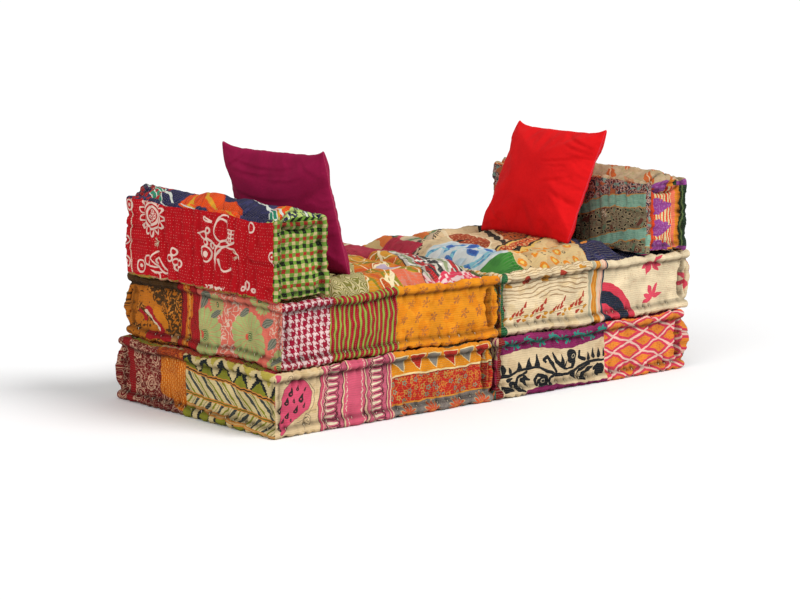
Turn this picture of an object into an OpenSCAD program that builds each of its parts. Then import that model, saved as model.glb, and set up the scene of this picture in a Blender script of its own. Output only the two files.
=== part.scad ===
// Modular floor cushion sofa: two stacks of two stitched patchwork mattresses side by side, a square
// bolster along each outer end, and a throw pillow that leans on each bolster.
// X runs along the sofa, Y from front to back and Z up. The origin is the middle of the footprint.

/* [Mattresses] */
// Length of one mattress along the sofa
mattress_w = 800; // [700:10:1000]
// Depth of one mattress from front to back
mattress_d = 700; // [680:10:900]
// Height of one mattress at its rolled edges
mattress_h = 180; // [140:5:240]
// Height of a seat's crown above its rolled edges
seat_crown = 34; // [20:1:50]
// Distance from the seam over which the crown rises
crown_reach = 110; // [80:5:130]
// Number of tufts along the length
tufts_along = 2; // [1:1:3]
// Number of tufts from front to back
tufts_across = 2; // [1:1:3]
// Depth that a tie pulls the top of a seat down
seat_tuft_dip = 28; // [12:1:40]
// Depth that a tie pulls the flat faces in
flat_tuft_dip = 11; // [8:1:16]
// Distance that the sides are drawn in halfway between two corners
side_draw = 5; // [0:0.5:8]

/* [Rolled edges] */
// Width of a rolled edge, from the cushion's edge to its stitched groove
roll_w = 26; // [18:1:30]
// Depth of the stitched groove beside a rolled edge
groove_dip = 9; // [5:0.5:12]
// Radius of the upright corners
corner_r = 14; // [8:1:17]

/* [Bolsters] */
// Length of a bolster, from front to back
bolster_l = 660; // [560:10:680]
// Height of a bolster at its rolled edges
bolster_h = 222; // [180:2:280]
// Thickness of a bolster between its two large faces
bolster_t = 190; // [150:5:230]
// Height of the crown of a bolster's large faces
bolster_crown = 6; // [3:0.5:6]
// Height that a bolster's top puffs up between its rolled edges
bolster_top_puff = 10; // [4:1:16]
// Height that a bolster's two ends puff out
bolster_end_puff = 4; // [0:0.5:4]
// Depth that a tie pulls a bolster's faces in
bolster_tuft_dip = 14; // [8:1:24]

/* [Throw pillows] */
// Side of a filled throw pillow, from ear to ear
pillow_size = 380; // [320:5:460]
// Thickness of the insert-filled pillow at its middle
pillow_t = 136; // [90:2:160]
// Distance that a pillow's sides are drawn in between its ears
pillow_draw = 12; // [11:0.5:16]
// Extra distance that the sides without a zip are drawn in at their middle
pillow_waist = 3; // [0:0.5:6]
// Lean of the left pillow towards its bolster, in degrees
lean_left = 17.7; // [10:0.1:30]
// Lean of the right pillow towards its bolster, in degrees
lean_right = 25.4; // [10:0.1:30]
// Turn of the left pillow about the vertical, in degrees
turn_left = 8.4; // [0:0.1:10]
// Distance of the left pillow from the sofa's front
pillow_front_left = 106; // [60:1:160]
// Distance of the right pillow from the sofa's front
pillow_front_right = 173; // [60:1:200]

/* [Cloth and clearances] */
// Thickness of the quilted patchwork cover
cover_t = 3; // [2:0.5:5]
// Thickness of a throw pillow's plain cotton
pillow_cloth_t = 1.2; // [0.8:0.1:2]
// Clearance between pieces that lie against each other
fit = 0.3; // [0.2:0.05:0.4]

/* [Ties] */
// Diameter of the twine that ties a cushion through
twine_d = 4; // [3:0.5:5]
// Diameter of a tie's knot
knot_d = 14; // [10:1:18]
// Height of a tie's knot
knot_h = 5; // [3:0.5:6]

/* [Zips] */
// Diameter of the zip's coil
coil_d = 4.4; // [3.6:0.1:5]
// Width of the zip tape that is sewn into the cover
tape_w = 10; // [7:0.5:12]
// Length of the zip's slider
slider_l = 13; // [10:0.5:16]
// Length of the slider's pull
pull_l = 20; // [14:1:26]

/* [Placing] */
// Gap between the two lower mattresses
base_gap = 4; // [1:1:20]
// Gap between the two seats
seat_gap = 0.4; // [0.4:0.2:20]
// Distance that the seats sit to the right of the lower mattresses
seat_shift = 28; // [0:1:40]
// Distance that the left seat sits back
seat_back_left = 12; // [0:1:30]
// Distance that the right seat sits back
seat_back_right = 16; // [0:1:30]
// Distance of the left bolster from the sofa's left end
bolster_inset_left = 6; // [6:1:40]
// Distance of the right bolster from the sofa's right end
bolster_inset_right = 28; // [6:1:60]
// Distance of the bolsters from the sofa's front
bolster_front = 4; // [4:1:30]

/* [Hidden] */

// Places of the cushions, measured from the front left corner of the sofa
sofa_w = seat_shift + 2 * mattress_w + max(seat_gap, base_gap - seat_shift);
sofa_d = mattress_d + max(seat_back_left, seat_back_right);
base_right_x = mattress_w + base_gap;
seat_right_x = sofa_w - mattress_w;
seat_z = mattress_h + fit;
bolster_z = seat_z + mattress_h + fit;
bolster_right_x = sofa_w - bolster_inset_right - bolster_t;
plateau_z = seat_z + mattress_h + seat_crown;

// The strip at a seat's outer end that its bolster presses flat, the room beside the bolster in it,
// and the slope from it to the crown
press_margin = 2;
press_left = bolster_inset_left + bolster_t - seat_shift + press_margin;
press_right = bolster_inset_right + bolster_t + press_margin;
press_rise = 70;

// Width of the shoulder from a groove to the flat of a face, and least distance between two grid lines
shoulder = 50;
least_spacing = 1;
// Half of a tuft's level floor, room above a knot in a flat face's tuft, and how far a panel's corners
// stay out of the border's
tuft_half = knot_d / 2 + 5;
flat_dip_room = 1;
corner_pull = 2;
// Distance from a cushion's upright edge to the puffed part of its border
upright_groove = 8;
groove_column = roll_w + upright_groove;
inner_corner_r = 4;
// Section of a roll in shares of its width: its crest, its shoulder, and its foot where it lies flat
roll_crest = 0.58;
roll_shoulder_in = 0.16;
roll_shoulder_down = 0.12;
roll_foot = 0.4;

// Throw pillow: the shares of a side at its ears and at its shoulders, and the two powers of its swell
ear = 0.08;
pillow_shoulder = 0.28;
swell_flatness = 2.2;
swell_fullness = 0.75;
draw_flatness = 4;

// Zip and seam sizes that follow from the values above
zip_reach = 0.1;
seam_half = fit / 2;
tape_t = 2 * fit;
zip_seam_half = tape_t / 2 + fit;
coil_y = pillow_draw - fit - coil_d / 2;
slider_wall = 1.6;
slider_end_gap = 2;
bore_overrun = 1;
pull_t = 1.2;
pull_w = 5;
insert_gap = fit / 2;
insert_margin = tape_w - fit;
round_facets = 14;

function rise(t) = let (s = min(1, max(0, t))) s * s * (3 - 2 * s);
function flat_list(rows) = [for (row = rows) for (p = row) p];
function sorted(v) = len(v) < 2 ? v :
    let (pivot = v[floor(len(v) / 2)])
    concat(sorted([for (a = v) if (a < pivot) a]), [for (a = v) if (a == pivot) a],
           sorted([for (a = v) if (a > pivot) a]));
function thinned(v) = [for (i = [0 : len(v) - 1]) if (i == 0 || v[i] - v[i - 1] > least_spacing) v[i]];

// Tufts stand in the middle of equal shares of a side
function tuft_places(length, count) = [for (i = [0 : count - 1]) length * (i + 0.5) / count];
function grid_lines(length, count, extra = []) =
    let (tufts = tuft_places(length, count))
    thinned(sorted(concat(
        [roll_w + fit, roll_w + shoulder, length - roll_w - shoulder, length - roll_w - fit],
        [for (t = tufts) each [t - tuft_half, t + tuft_half]],
        count > 1 ? [for (i = [1 : count - 1]) length * i / count] : [],
        extra)));
function near_tufts(a, length, count) =
    [for (t = tuft_places(length, count)) if (abs(a - t) < tuft_half + fit) t];

// Height of a cushion face over the plane of its rolled edges; a tuft's floor is level
function face_height(x, y, w, d, nx, ny, crown, dip, seam, press) =
    let (tx = near_tufts(x, w, nx), ty = near_tufts(y, d, ny),
         tufted = len(tx) > 0 && len(ty) > 0,
         u = tufted ? tx[0] : x, v = tufted ? ty[0] : y,
         edge = min(u, w - u, v, d - v) - roll_w,
         swell = rise((u - roll_w) / crown_reach) * rise((w - u - roll_w) / crown_reach)
               * rise((v - roll_w) / crown_reach) * rise((d - v - roll_w) / crown_reach),
         pressed = press > 0 ? rise((u - press) / press_rise) : 1)
    crown * swell * pressed - seam * (1 - rise(edge / shoulder)) - (tufted ? dip : 0);

// Grid of points over a face; the four corners are pulled in to clear the corner of the border
function face_grid(w, d, nx, ny, crown, dip, seam, press, mirrored, base, side, offset) =
    let (xs = grid_lines(w, nx, press > 0 ? [press, press + press_rise] : []),
         ys = grid_lines(d, ny), last_x = len(xs) - 1, last_y = len(ys) - 1)
    [for (i = [0 : last_x]) let (k = mirrored ? last_x - i : i)
        [for (j = [0 : last_y])
            let (corner = (k == 0 || k == last_x) && (j == 0 || j == last_y),
                 x = xs[k] + (corner ? (k == 0 ? corner_pull : -corner_pull) : 0),
                 y = ys[j] + (corner ? (j == 0 ? corner_pull : -corner_pull) : 0),
                 height = face_height(xs[k], ys[j], w, d, nx, ny, crown, dip, seam, press))
            [mirrored ? w - x : x, y, base + side * (height + offset)]]];

// A closed slab between an upper and a lower grid of points of the same count
module slab(upper, lower) {
    nx = len(upper) - 1;
    ny = len(upper[0]) - 1;
    step = ny + 1;
    under = (nx + 1) * step;
    function at(i, j) = i * step + j;
    // Each cell is split along the diagonal whose two ends are the closest in height
    function cell_faces(grid) = [for (i = [0 : nx - 1]) for (j = [0 : ny - 1])
        let (a = at(i, j), b = at(i + 1, j), c = at(i + 1, j + 1), e = at(i, j + 1),
             rise_ac = abs(grid[i][j][2] - grid[i + 1][j + 1][2]),
             rise_be = abs(grid[i + 1][j][2] - grid[i][j + 1][2]))
        each rise_ac < rise_be ? [[a, e, c], [a, c, b]] : [[a, e, b], [e, c, b]]];
    upper_faces = cell_faces(upper);
    lower_faces = [for (f = cell_faces(lower)) [f[0] + under, f[2] + under, f[1] + under]];
    rim = concat(
        [for (i = [0 : nx - 1]) [at(i, 0), at(i + 1, 0)]],
        [for (j = [0 : ny - 1]) [at(nx, j), at(nx, j + 1)]],
        [for (i = [nx : -1 : 1]) [at(i, ny), at(i - 1, ny)]],
        [for (j = [ny : -1 : 1]) [at(0, j), at(0, j - 1)]]);
    rim_faces = [for (e = rim)
        each [[e[0], e[1], e[1] + under], [e[0], e[1] + under, e[0] + under]]];
    polyhedron(points = concat(flat_list(upper), flat_list(lower)),
               faces = concat(upper_faces, lower_faces, rim_faces));
}

module bores(w, d, nx, ny, depth) {
    for (x = tuft_places(w, nx), y = tuft_places(d, ny))
        translate([x, y, -depth / 2])
            cylinder(h = 2 * depth, d = twine_d + 2 * fit, $fn = round_facets);
}

// A cover panel: cloth that follows the face, with a hole for each tie
module face_panel(w, d, nx, ny, crown, dip, seam, press, mirrored, base, side) {
    outer = face_grid(w, d, nx, ny, crown, dip, seam, press, mirrored, base, side, 0);
    inner = face_grid(w, d, nx, ny, crown, dip, seam, press, mirrored, base, side, -cover_t);
    difference() {
        if (side > 0) slab(outer, inner);
        else slab(inner, outer);
        bores(w, d, nx, ny, base + mattress_h);
    }
}

// The core between two panels, with a bore for each tie
module core(w, d, nx, ny, h, upper, lower, press = 0, mirrored = false) {
    skin = -cover_t - fit;
    difference() {
        slab(face_grid(w, d, nx, ny, upper[0], upper[1], upper[2], press, mirrored, h, 1, skin),
             face_grid(w, d, nx, ny, lower[0], lower[1], lower[2], press,
                       mirrored, 0, -1, skin));
        bores(w, d, nx, ny, h);
    }
}

// One column of the border at distance inset from the edge: k is the side, t the place along it,
// and kind is 0 at a corner, 1 at the upright groove beside it and 2 on the puffed stretch
function border_columns(w, d) = [for (k = [0 : 3]) let (length = k % 2 == 0 ? w : d)
    each [[k, -1, 0], [k, 0, 0], [k, groove_column, 1], [k, length / 4, 2], [k, length / 2, 2],
          [k, 3 * length / 4, 2], [k, length - groove_column, 1], [k, length, 0]]];
function side_point(k, along, inset, w, d) =
    k == 0 ? [along, inset] : k == 1 ? [w - inset, along] :
    k == 2 ? [w - along, d - inset] : [inset, d - along];
function border_point(column, inset, w, d, draw) =
    let (k = column[0], t = column[1], length = k % 2 == 0 ? w : d,
         r = max(corner_r - inset, inner_corner_r), cut = r * (1 - cos(45)),
         drawn = inset >= roll_w ? 0 : draw * pow(sin(180 * max(0, t) / length), 2))
    t < 0 ? side_point(k, inset + cut, inset + cut, w, d) :
    t == 0 ? side_point(k, inset + r, inset, w, d) :
    t == length ? side_point(k, length - inset - r, inset, w, d) :
    side_point(k, t, inset + drawn, w, d);

// Section of the border as [inset, height], from the upper seam round the outside to the lower seam
function border_section(kind, puff, h, flat_under) =
    let (groove = kind == 0 ? groove_dip / 2 : groove_dip,
         belly = kind == 0 ? 0 : kind == 1 ? groove_dip : -puff)
    [[roll_w, h - groove_dip], [roll_crest * roll_w, h],
     [roll_shoulder_in * roll_w, h - roll_shoulder_down * roll_w],
     [0, h - roll_w / 2], [groove, h - roll_w], [belly, h * 2 / 3], [belly, h / 3],
     [groove, roll_w], [0, roll_w / 2], [roll_shoulder_in * roll_w, roll_shoulder_down * roll_w],
     [(flat_under ? roll_foot : roll_crest) * roll_w, 0], [roll_w, flat_under ? 0 : groove_dip]];

// The border: the side strip of the cover with its two rolled edges and stuffed upright corners
module border(w, d, h, puffs, flat_under, draw) {
    columns = border_columns(w, d);
    n = len(columns);
    rows = len(border_section(0, 0, h, flat_under));
    points = [for (column = columns)
        let (section = border_section(column[2], puffs[column[0]], h, flat_under))
        each [for (s = section)
            let (p = border_point(column, s[0], w, d, draw)) [p[0], p[1], s[1]]]];
    polyhedron(points = points, faces = [for (c = [0 : n - 1]) for (r = [0 : rows - 1])
        let (c2 = (c + 1) % n, r2 = (r + 1) % rows)
        each [[c * rows + r, c2 * rows + r, c2 * rows + r2],
              [c * rows + r, c2 * rows + r2, c * rows + r2]]]);
}

// Ties: twine through the cushion with a knot in each tuft
module ties(w, d, nx, ny, upper_z, lower_z) {
    for (i = [0 : nx - 1], j = [0 : ny - 1])
        translate([tuft_places(w, nx)[i], tuft_places(d, ny)[j], 0]) {
            top = upper_z[i];
            translate([0, 0, lower_z - fit - knot_h / 2])
                cylinder(h = top - lower_z + 2 * fit + knot_h, d = twine_d, $fn = round_facets);
            for (z = [top + fit, lower_z - fit - knot_h])
                translate([0, 0, z]) cylinder(h = knot_h, d = knot_d, $fn = 12);
        }
}

// Faces of the three kinds of cushion, each as crown, tuft dip and depth of the seam
under_dip = max(flat_tuft_dip, knot_h + fit + flat_dip_room);
base_face = [0, under_dip, groove_dip];
seat_face = [seat_crown, seat_tuft_dip, groove_dip];
under_face = [0, under_dip, 0];
bolster_face = [bolster_crown, bolster_tuft_dip, groove_dip];

module mattress_top(face, press = 0, mirrored = false)
    face_panel(mattress_w, mattress_d, tufts_along, tufts_across, face[0], face[1], face[2],
               press, mirrored, mattress_h, 1);
module mattress_underside(press = 0, mirrored = false)
    face_panel(mattress_w, mattress_d, tufts_along, tufts_across, under_face[0], under_face[1],
               under_face[2], press, mirrored, 0, -1);
module mattress_border()
    border(mattress_w, mattress_d, mattress_h, [0, 0, 0, 0], true, side_draw);
module mattress_filling(face, press = 0, mirrored = false)
    core(mattress_w, mattress_d, tufts_along, tufts_across, mattress_h, face, under_face, press, mirrored);
module mattress_ties(face, press = 0, mirrored = false) {
    places = tuft_places(mattress_w, tufts_along);
    heights = [for (i = [0 : tufts_along - 1])
        mattress_h + face_height(mirrored ? mattress_w - places[i] : places[i], mattress_d / tufts_across / 2,
                                 mattress_w, mattress_d, tufts_along, tufts_across,
                                 face[0], face[1], face[2], press)];
    ties(mattress_w, mattress_d, tufts_along, tufts_across, heights, under_dip);
}

// A bolster is made lying on one large face and then stood up, so its thickness runs along X
bolster_tufts = 2;
module bolster_face_panel(side)
    face_panel(bolster_l, bolster_h, bolster_tufts, 1, bolster_face[0], bolster_face[1], bolster_face[2],
               0, false, side > 0 ? bolster_t : 0, side);
module bolster_border()
    border(bolster_l, bolster_h, bolster_t, [0, bolster_end_puff, bolster_top_puff, bolster_end_puff],
           false, 0);
module bolster_filling()
    core(bolster_l, bolster_h, bolster_tufts, 1, bolster_t, bolster_face, bolster_face);
module bolster_ties() {
    dip = face_height(bolster_l / bolster_tufts / 2, bolster_h / 2, bolster_l, bolster_h, bolster_tufts, 1,
                      bolster_face[0], bolster_face[1], bolster_face[2], 0);
    ties(bolster_l, bolster_h, bolster_tufts, 1, [for (i = [1 : bolster_tufts]) bolster_t + dip], -dip);
}

// Plan and bulge of a throw pillow over shares s of its width and t of its height
pillow_lines = [0, ear, pillow_shoulder, 0.5, 1 - pillow_shoulder, 1 - ear, 1];
function drawn_in(s, waist) = pillow_draw * min(1, 2 * (1 - pow(abs(2 * s - 1), draw_flatness)))
    + waist * (1 - pow(2 * s - 1, 2)) * (s > 0 && s < 1 ? 1 : 0);
function swell(s) = pow(1 - pow(abs(2 * s - 1), swell_flatness), swell_fullness);
function pillow_plan(s, t) =
    [pillow_size * s + drawn_in(t, pillow_waist) * (1 - 2 * s),
     pillow_size * t + drawn_in(s, t < 0.5 ? 0 : pillow_waist) * (1 - 2 * t)];
function pillow_height(s, t) = (pillow_t / 2 - pillow_cloth_t) * swell(s) * swell(t)
    + (t == 0 ? zip_seam_half : seam_half);
function pillow_grid(side, offset) = [for (s = pillow_lines) [for (t = pillow_lines)
    let (p = pillow_plan(s, t)) [p[0], p[1], side * (pillow_height(s, t) + offset)]]];
// The insert is the cover's inside drawn in towards its middle, to clear the seams and the zip tape
function insert_grid(side) =
    let (middle = pillow_size / 2,
         shrink = 1 - insert_margin / (middle - pillow_draw),
         flatten = 1 - insert_gap / (pillow_t / 2 - pillow_cloth_t))
    [for (row = pillow_grid(side, 0)) [for (p = row)
        let (height = flatten * (side * p[2] - zip_seam_half + seam_half))
        [middle + shrink * (p[0] - middle), middle + shrink * (p[1] - middle),
         side * max(seam_half / 2, height)]]];

module pillow_panel(side) {
    outer = pillow_grid(side, pillow_cloth_t);
    inner = pillow_grid(side, 0);
    if (side > 0) slab(outer, inner);
    else slab(inner, outer);
}
module pillow_insert()
    slab(insert_grid(1), insert_grid(-1));
zip_start = zip_reach * pillow_size;
zip_end = pillow_size - zip_start;
module pillow_zip() {
    translate([zip_start, coil_y, 0]) rotate([0, 90, 0])
        cylinder(h = zip_end - zip_start, d = coil_d, $fn = round_facets);
    translate([zip_start, coil_y, -tape_t / 2]) cube([zip_end - zip_start, tape_w, tape_t]);
}
slider_x = zip_end - slider_end_gap - slider_l;
module zip_slider() {
    half = coil_d / 2 + fit + slider_wall;
    difference() {
        translate([slider_x, coil_y - half, -half]) cube([slider_l, half + coil_d / 2, 2 * half]);
        translate([slider_x - bore_overrun, coil_y, 0]) rotate([0, 90, 0])
            cylinder(h = slider_l + 2 * bore_overrun, d = coil_d + 2 * fit, $fn = round_facets);
    }
    translate([slider_x - pull_l, coil_y - half - pull_t, -pull_w / 2])
        cube([pull_l + slider_l, pull_t, pull_w]);
}

// A pillow stands on its ears on the seat's crown and leans on the roll at its bolster's top edge.
// tilt is the lean, positive towards +X, and turn is about the vertical.
function stood(p, tilt, turn) =
    let (x = p[2] * cos(tilt) + p[1] * sin(tilt), z = p[1] * cos(tilt) - p[2] * sin(tilt))
    [x * cos(turn) - p[0] * sin(turn), x * sin(turn) + p[0] * cos(turn), z];
function pillow_points(tilt, turn) =
    [for (side = [-1, 1]) for (p = flat_list(pillow_grid(side, pillow_cloth_t))) stood(p, tilt, turn)];
// Points of the bolster's upper roll as [distance behind its inner face, height over the seat's crown]
bolster_top = bolster_z + bolster_h - plateau_z;
roll_points = [[0, -roll_crest * roll_w],
               [roll_shoulder_down * roll_w, -roll_shoulder_in * roll_w], [roll_w / 2, 0]];
function lean_origin(face_x, tilt, turn) =
    let (toward = tilt > 0 ? 1 : -1, points = pillow_points(tilt, turn),
         lift = fit - min([for (p = points) p[2]]),
         reach = max([for (a = [5 : 60])
             (min([for (r = roll_points) r[0] * cos(a) - (bolster_top + r[1]) * sin(a)])
              - max([for (p = points) toward * p[0] * cos(a) - (p[2] + lift) * sin(a)]) - fit) / cos(a)]))
    [face_x + toward * reach, plateau_z + lift];
left_origin = lean_origin(bolster_inset_left + bolster_t, -lean_left, turn_left);
right_origin = lean_origin(bolster_right_x, lean_right, 0);

// Each cushion's own place on the sofa
module on_sofa() translate([-sofa_w / 2, -sofa_d / 2, 0]) children();
module at_base_left() on_sofa() children();
module at_base_right() on_sofa() translate([base_right_x, 0, 0]) children();
module at_seat_left() on_sofa() translate([seat_shift, seat_back_left, seat_z]) children();
module at_seat_right() on_sofa() translate([seat_right_x, seat_back_right, seat_z]) children();
module at_bolster_left()
    on_sofa() translate([bolster_inset_left, bolster_front, bolster_z]) rotate([90, 0, 90]) children();
module at_bolster_right()
    on_sofa() translate([bolster_right_x, bolster_front, bolster_z]) rotate([90, 0, 90]) children();
module at_pillow_left() on_sofa() translate([left_origin[0], pillow_front_left, left_origin[1]])
    rotate([0, 0, turn_left]) rotate([0, -lean_left, 0]) rotate([90, 0, 90]) children();
module at_pillow_right() on_sofa() translate([right_origin[0], pillow_front_right, right_origin[1]])
    rotate([0, lean_right, 0]) rotate([90, 0, 90]) children();

module base_left_top() color("#b5622f") at_base_left() mattress_top(base_face);
module base_left_border() color("#a8432c") at_base_left() mattress_border();
module base_left_underside() color("#8c4a36") at_base_left() mattress_underside();
module base_left_filling() color("#ece4d2") at_base_left() mattress_filling(base_face);
module base_left_ties() color("#e8dcc0") at_base_left() mattress_ties(base_face);

module base_right_top() color("#a03a3a") at_base_right() mattress_top(base_face);
module base_right_border() color("#9a2f4e") at_base_right() mattress_border();
module base_right_underside() color("#7a3550") at_base_right() mattress_underside();
module base_right_filling() color("#ece4d2") at_base_right() mattress_filling(base_face);
module base_right_ties() color("#e8dcc0") at_base_right() mattress_ties(base_face);

module seat_left_top() color("#c97b3a") at_seat_left() mattress_top(seat_face, press_left);
module seat_left_border() color("#c8642c") at_seat_left() mattress_border();
module seat_left_underside() color("#8f4b30") at_seat_left() mattress_underside(press_left);
module seat_left_filling() color("#ece4d2") at_seat_left() mattress_filling(seat_face, press_left);
module seat_left_ties() color("#e8dcc0") at_seat_left() mattress_ties(seat_face, press_left);

module seat_right_top() color("#c9a27c") at_seat_right() mattress_top(seat_face, press_right, true);
module seat_right_border() color("#d8c19c") at_seat_right() mattress_border();
module seat_right_underside() color("#8a6a4c") at_seat_right() mattress_underside(press_right, true);
module seat_right_filling()
    color("#ece4d2") at_seat_right() mattress_filling(seat_face, press_right, true);
module seat_right_ties() color("#e8dcc0") at_seat_right() mattress_ties(seat_face, press_right, true);

module bolster_left_inner_face() color("#8f1c24") at_bolster_left() bolster_face_panel(1);
module bolster_left_border() color("#b03030") at_bolster_left() bolster_border();
module bolster_left_outer_face() color("#c81e2a") at_bolster_left() bolster_face_panel(-1);
module bolster_left_filling() color("#ece4d2") at_bolster_left() bolster_filling();
module bolster_left_ties() color("#e8883a") at_bolster_left() bolster_ties();

module bolster_right_inner_face() color("#8fa58a") at_bolster_right() bolster_face_panel(-1);
module bolster_right_border() color("#c8a982") at_bolster_right() bolster_border();
module bolster_right_outer_face() color("#a8603c") at_bolster_right() bolster_face_panel(1);
module bolster_right_filling() color("#ece4d2") at_bolster_right() bolster_filling();
module bolster_right_ties() color("#e8dcc0") at_bolster_right() bolster_ties();

module pillow_left_front() color("#9c1f55") at_pillow_left() pillow_panel(1);
module pillow_left_back() color("#8c1238") at_pillow_left() pillow_panel(-1);
module pillow_left_insert() color("#f2f0ea") at_pillow_left() pillow_insert();
module pillow_left_zip() color("#7c1040") at_pillow_left() pillow_zip();
module pillow_left_zip_slider() color("#c0c0c4") at_pillow_left() zip_slider();

module pillow_right_front() color("#d8161c") at_pillow_right() pillow_panel(-1);
module pillow_right_back() color("#c01218") at_pillow_right() pillow_panel(1);
module pillow_right_insert() color("#f2f0ea") at_pillow_right() pillow_insert();
module pillow_right_zip() color("#b01018") at_pillow_right() pillow_zip();
module pillow_right_zip_slider() color("#c0c0c4") at_pillow_right() zip_slider();

base_left_top();
base_left_border();
base_left_underside();
base_left_filling();
base_left_ties();
base_right_top();
base_right_border();
base_right_underside();
base_right_filling();
base_right_ties();
seat_left_top();
seat_left_border();
seat_left_underside();
seat_left_filling();
seat_left_ties();
seat_right_top();
seat_right_border();
seat_right_underside();
seat_right_filling();
seat_right_ties();
bolster_left_inner_face();
bolster_left_border();
bolster_left_outer_face();
bolster_left_filling();
bolster_left_ties();
bolster_right_inner_face();
bolster_right_border();
bolster_right_outer_face();
bolster_right_filling();
bolster_right_ties();
pillow_left_front();
pillow_left_back();
pillow_left_insert();
pillow_left_zip();
pillow_left_zip_slider();
pillow_right_front();
pillow_right_back();
pillow_right_insert();
pillow_right_zip();
pillow_right_zip_slider();
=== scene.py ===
import math

import bmesh
import bpy
import numpy as np
from mathutils import Matrix, Vector


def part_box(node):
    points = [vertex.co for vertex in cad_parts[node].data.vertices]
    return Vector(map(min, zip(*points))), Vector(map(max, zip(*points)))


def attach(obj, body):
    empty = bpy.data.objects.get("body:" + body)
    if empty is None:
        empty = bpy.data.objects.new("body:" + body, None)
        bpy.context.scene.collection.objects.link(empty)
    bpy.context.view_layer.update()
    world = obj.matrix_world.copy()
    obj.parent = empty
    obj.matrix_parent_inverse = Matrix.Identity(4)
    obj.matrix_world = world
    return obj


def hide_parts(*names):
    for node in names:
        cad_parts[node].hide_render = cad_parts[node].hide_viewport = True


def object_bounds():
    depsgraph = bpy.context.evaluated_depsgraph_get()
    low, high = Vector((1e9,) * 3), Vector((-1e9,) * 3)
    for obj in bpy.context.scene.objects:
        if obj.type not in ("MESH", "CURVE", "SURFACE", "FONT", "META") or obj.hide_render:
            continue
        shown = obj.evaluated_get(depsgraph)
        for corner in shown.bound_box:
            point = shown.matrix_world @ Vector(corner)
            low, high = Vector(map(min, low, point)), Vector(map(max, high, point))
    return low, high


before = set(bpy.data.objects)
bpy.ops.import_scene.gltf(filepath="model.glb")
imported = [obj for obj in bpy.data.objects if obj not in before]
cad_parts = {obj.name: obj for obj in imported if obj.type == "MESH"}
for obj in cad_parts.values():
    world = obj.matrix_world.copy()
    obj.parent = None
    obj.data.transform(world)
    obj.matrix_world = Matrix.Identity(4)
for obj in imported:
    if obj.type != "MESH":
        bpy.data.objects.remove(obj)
cad_low, cad_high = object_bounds()

# Camera
# The sofa is seen from its front left, a little above, with a long lens. The viewpoint is measured from
# the front left corner of the sofa's footprint.
viewpoint = Vector((-4.1584, -5.1154, 1.4727))
yaw, pitch, roll = math.radians(41.911), math.radians(-9.447), math.radians(0.620)
ahead = Vector((math.sin(yaw) * math.cos(pitch), math.cos(yaw) * math.cos(pitch), math.sin(pitch)))
level = Vector((math.cos(yaw), -math.sin(yaw), 0))
over = level.cross(ahead)
right = level * math.cos(roll) + over * math.sin(roll)
up = over * math.cos(roll) - level * math.sin(roll)
camera = bpy.data.objects.new("camera", bpy.data.cameras.new("camera"))
camera.data.lens = 115.8
camera.data.sensor_width = 36
camera.matrix_world = Matrix((right, up, -ahead)).transposed().to_4x4()
camera.location = Vector((cad_low.x, cad_low.y, 0)) + viewpoint
bpy.context.scene.collection.objects.link(camera)
bpy.context.scene.camera = camera


# Lower left mattress
# A floor mattress of packed cotton in a cover of worn quilted patches. Its edges are rolled and stitched
# by hand, which leaves a groove on both sides of each roll, and twine ties pull its faces in.
def rise(share):
    """A smooth step from 0 to 1 for a share that runs from 0 to 1."""
    share = np.clip(share, 0, 1)
    return share * share * (3 - 2 * share)


class Wander:
    """A smooth field that drifts between about -1 and 1 over lengths near one wavelength."""

    def __init__(self, seed, wavelength, waves=9):
        draw = np.random.default_rng(seed)
        course = draw.normal(size=(waves, 3))
        course /= np.linalg.norm(course, axis=1)[:, None]
        self.course = course * (2 * math.pi / wavelength) * draw.uniform(0.7, 1.5, (waves, 1))
        self.start = draw.uniform(0, 2 * math.pi, waves)
        self.share = 1 / math.sqrt(waves)

    def at(self, points):
        """The field's value at each point."""
        return np.sin(points @ self.course.T + self.start).sum(1) * self.share


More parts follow.
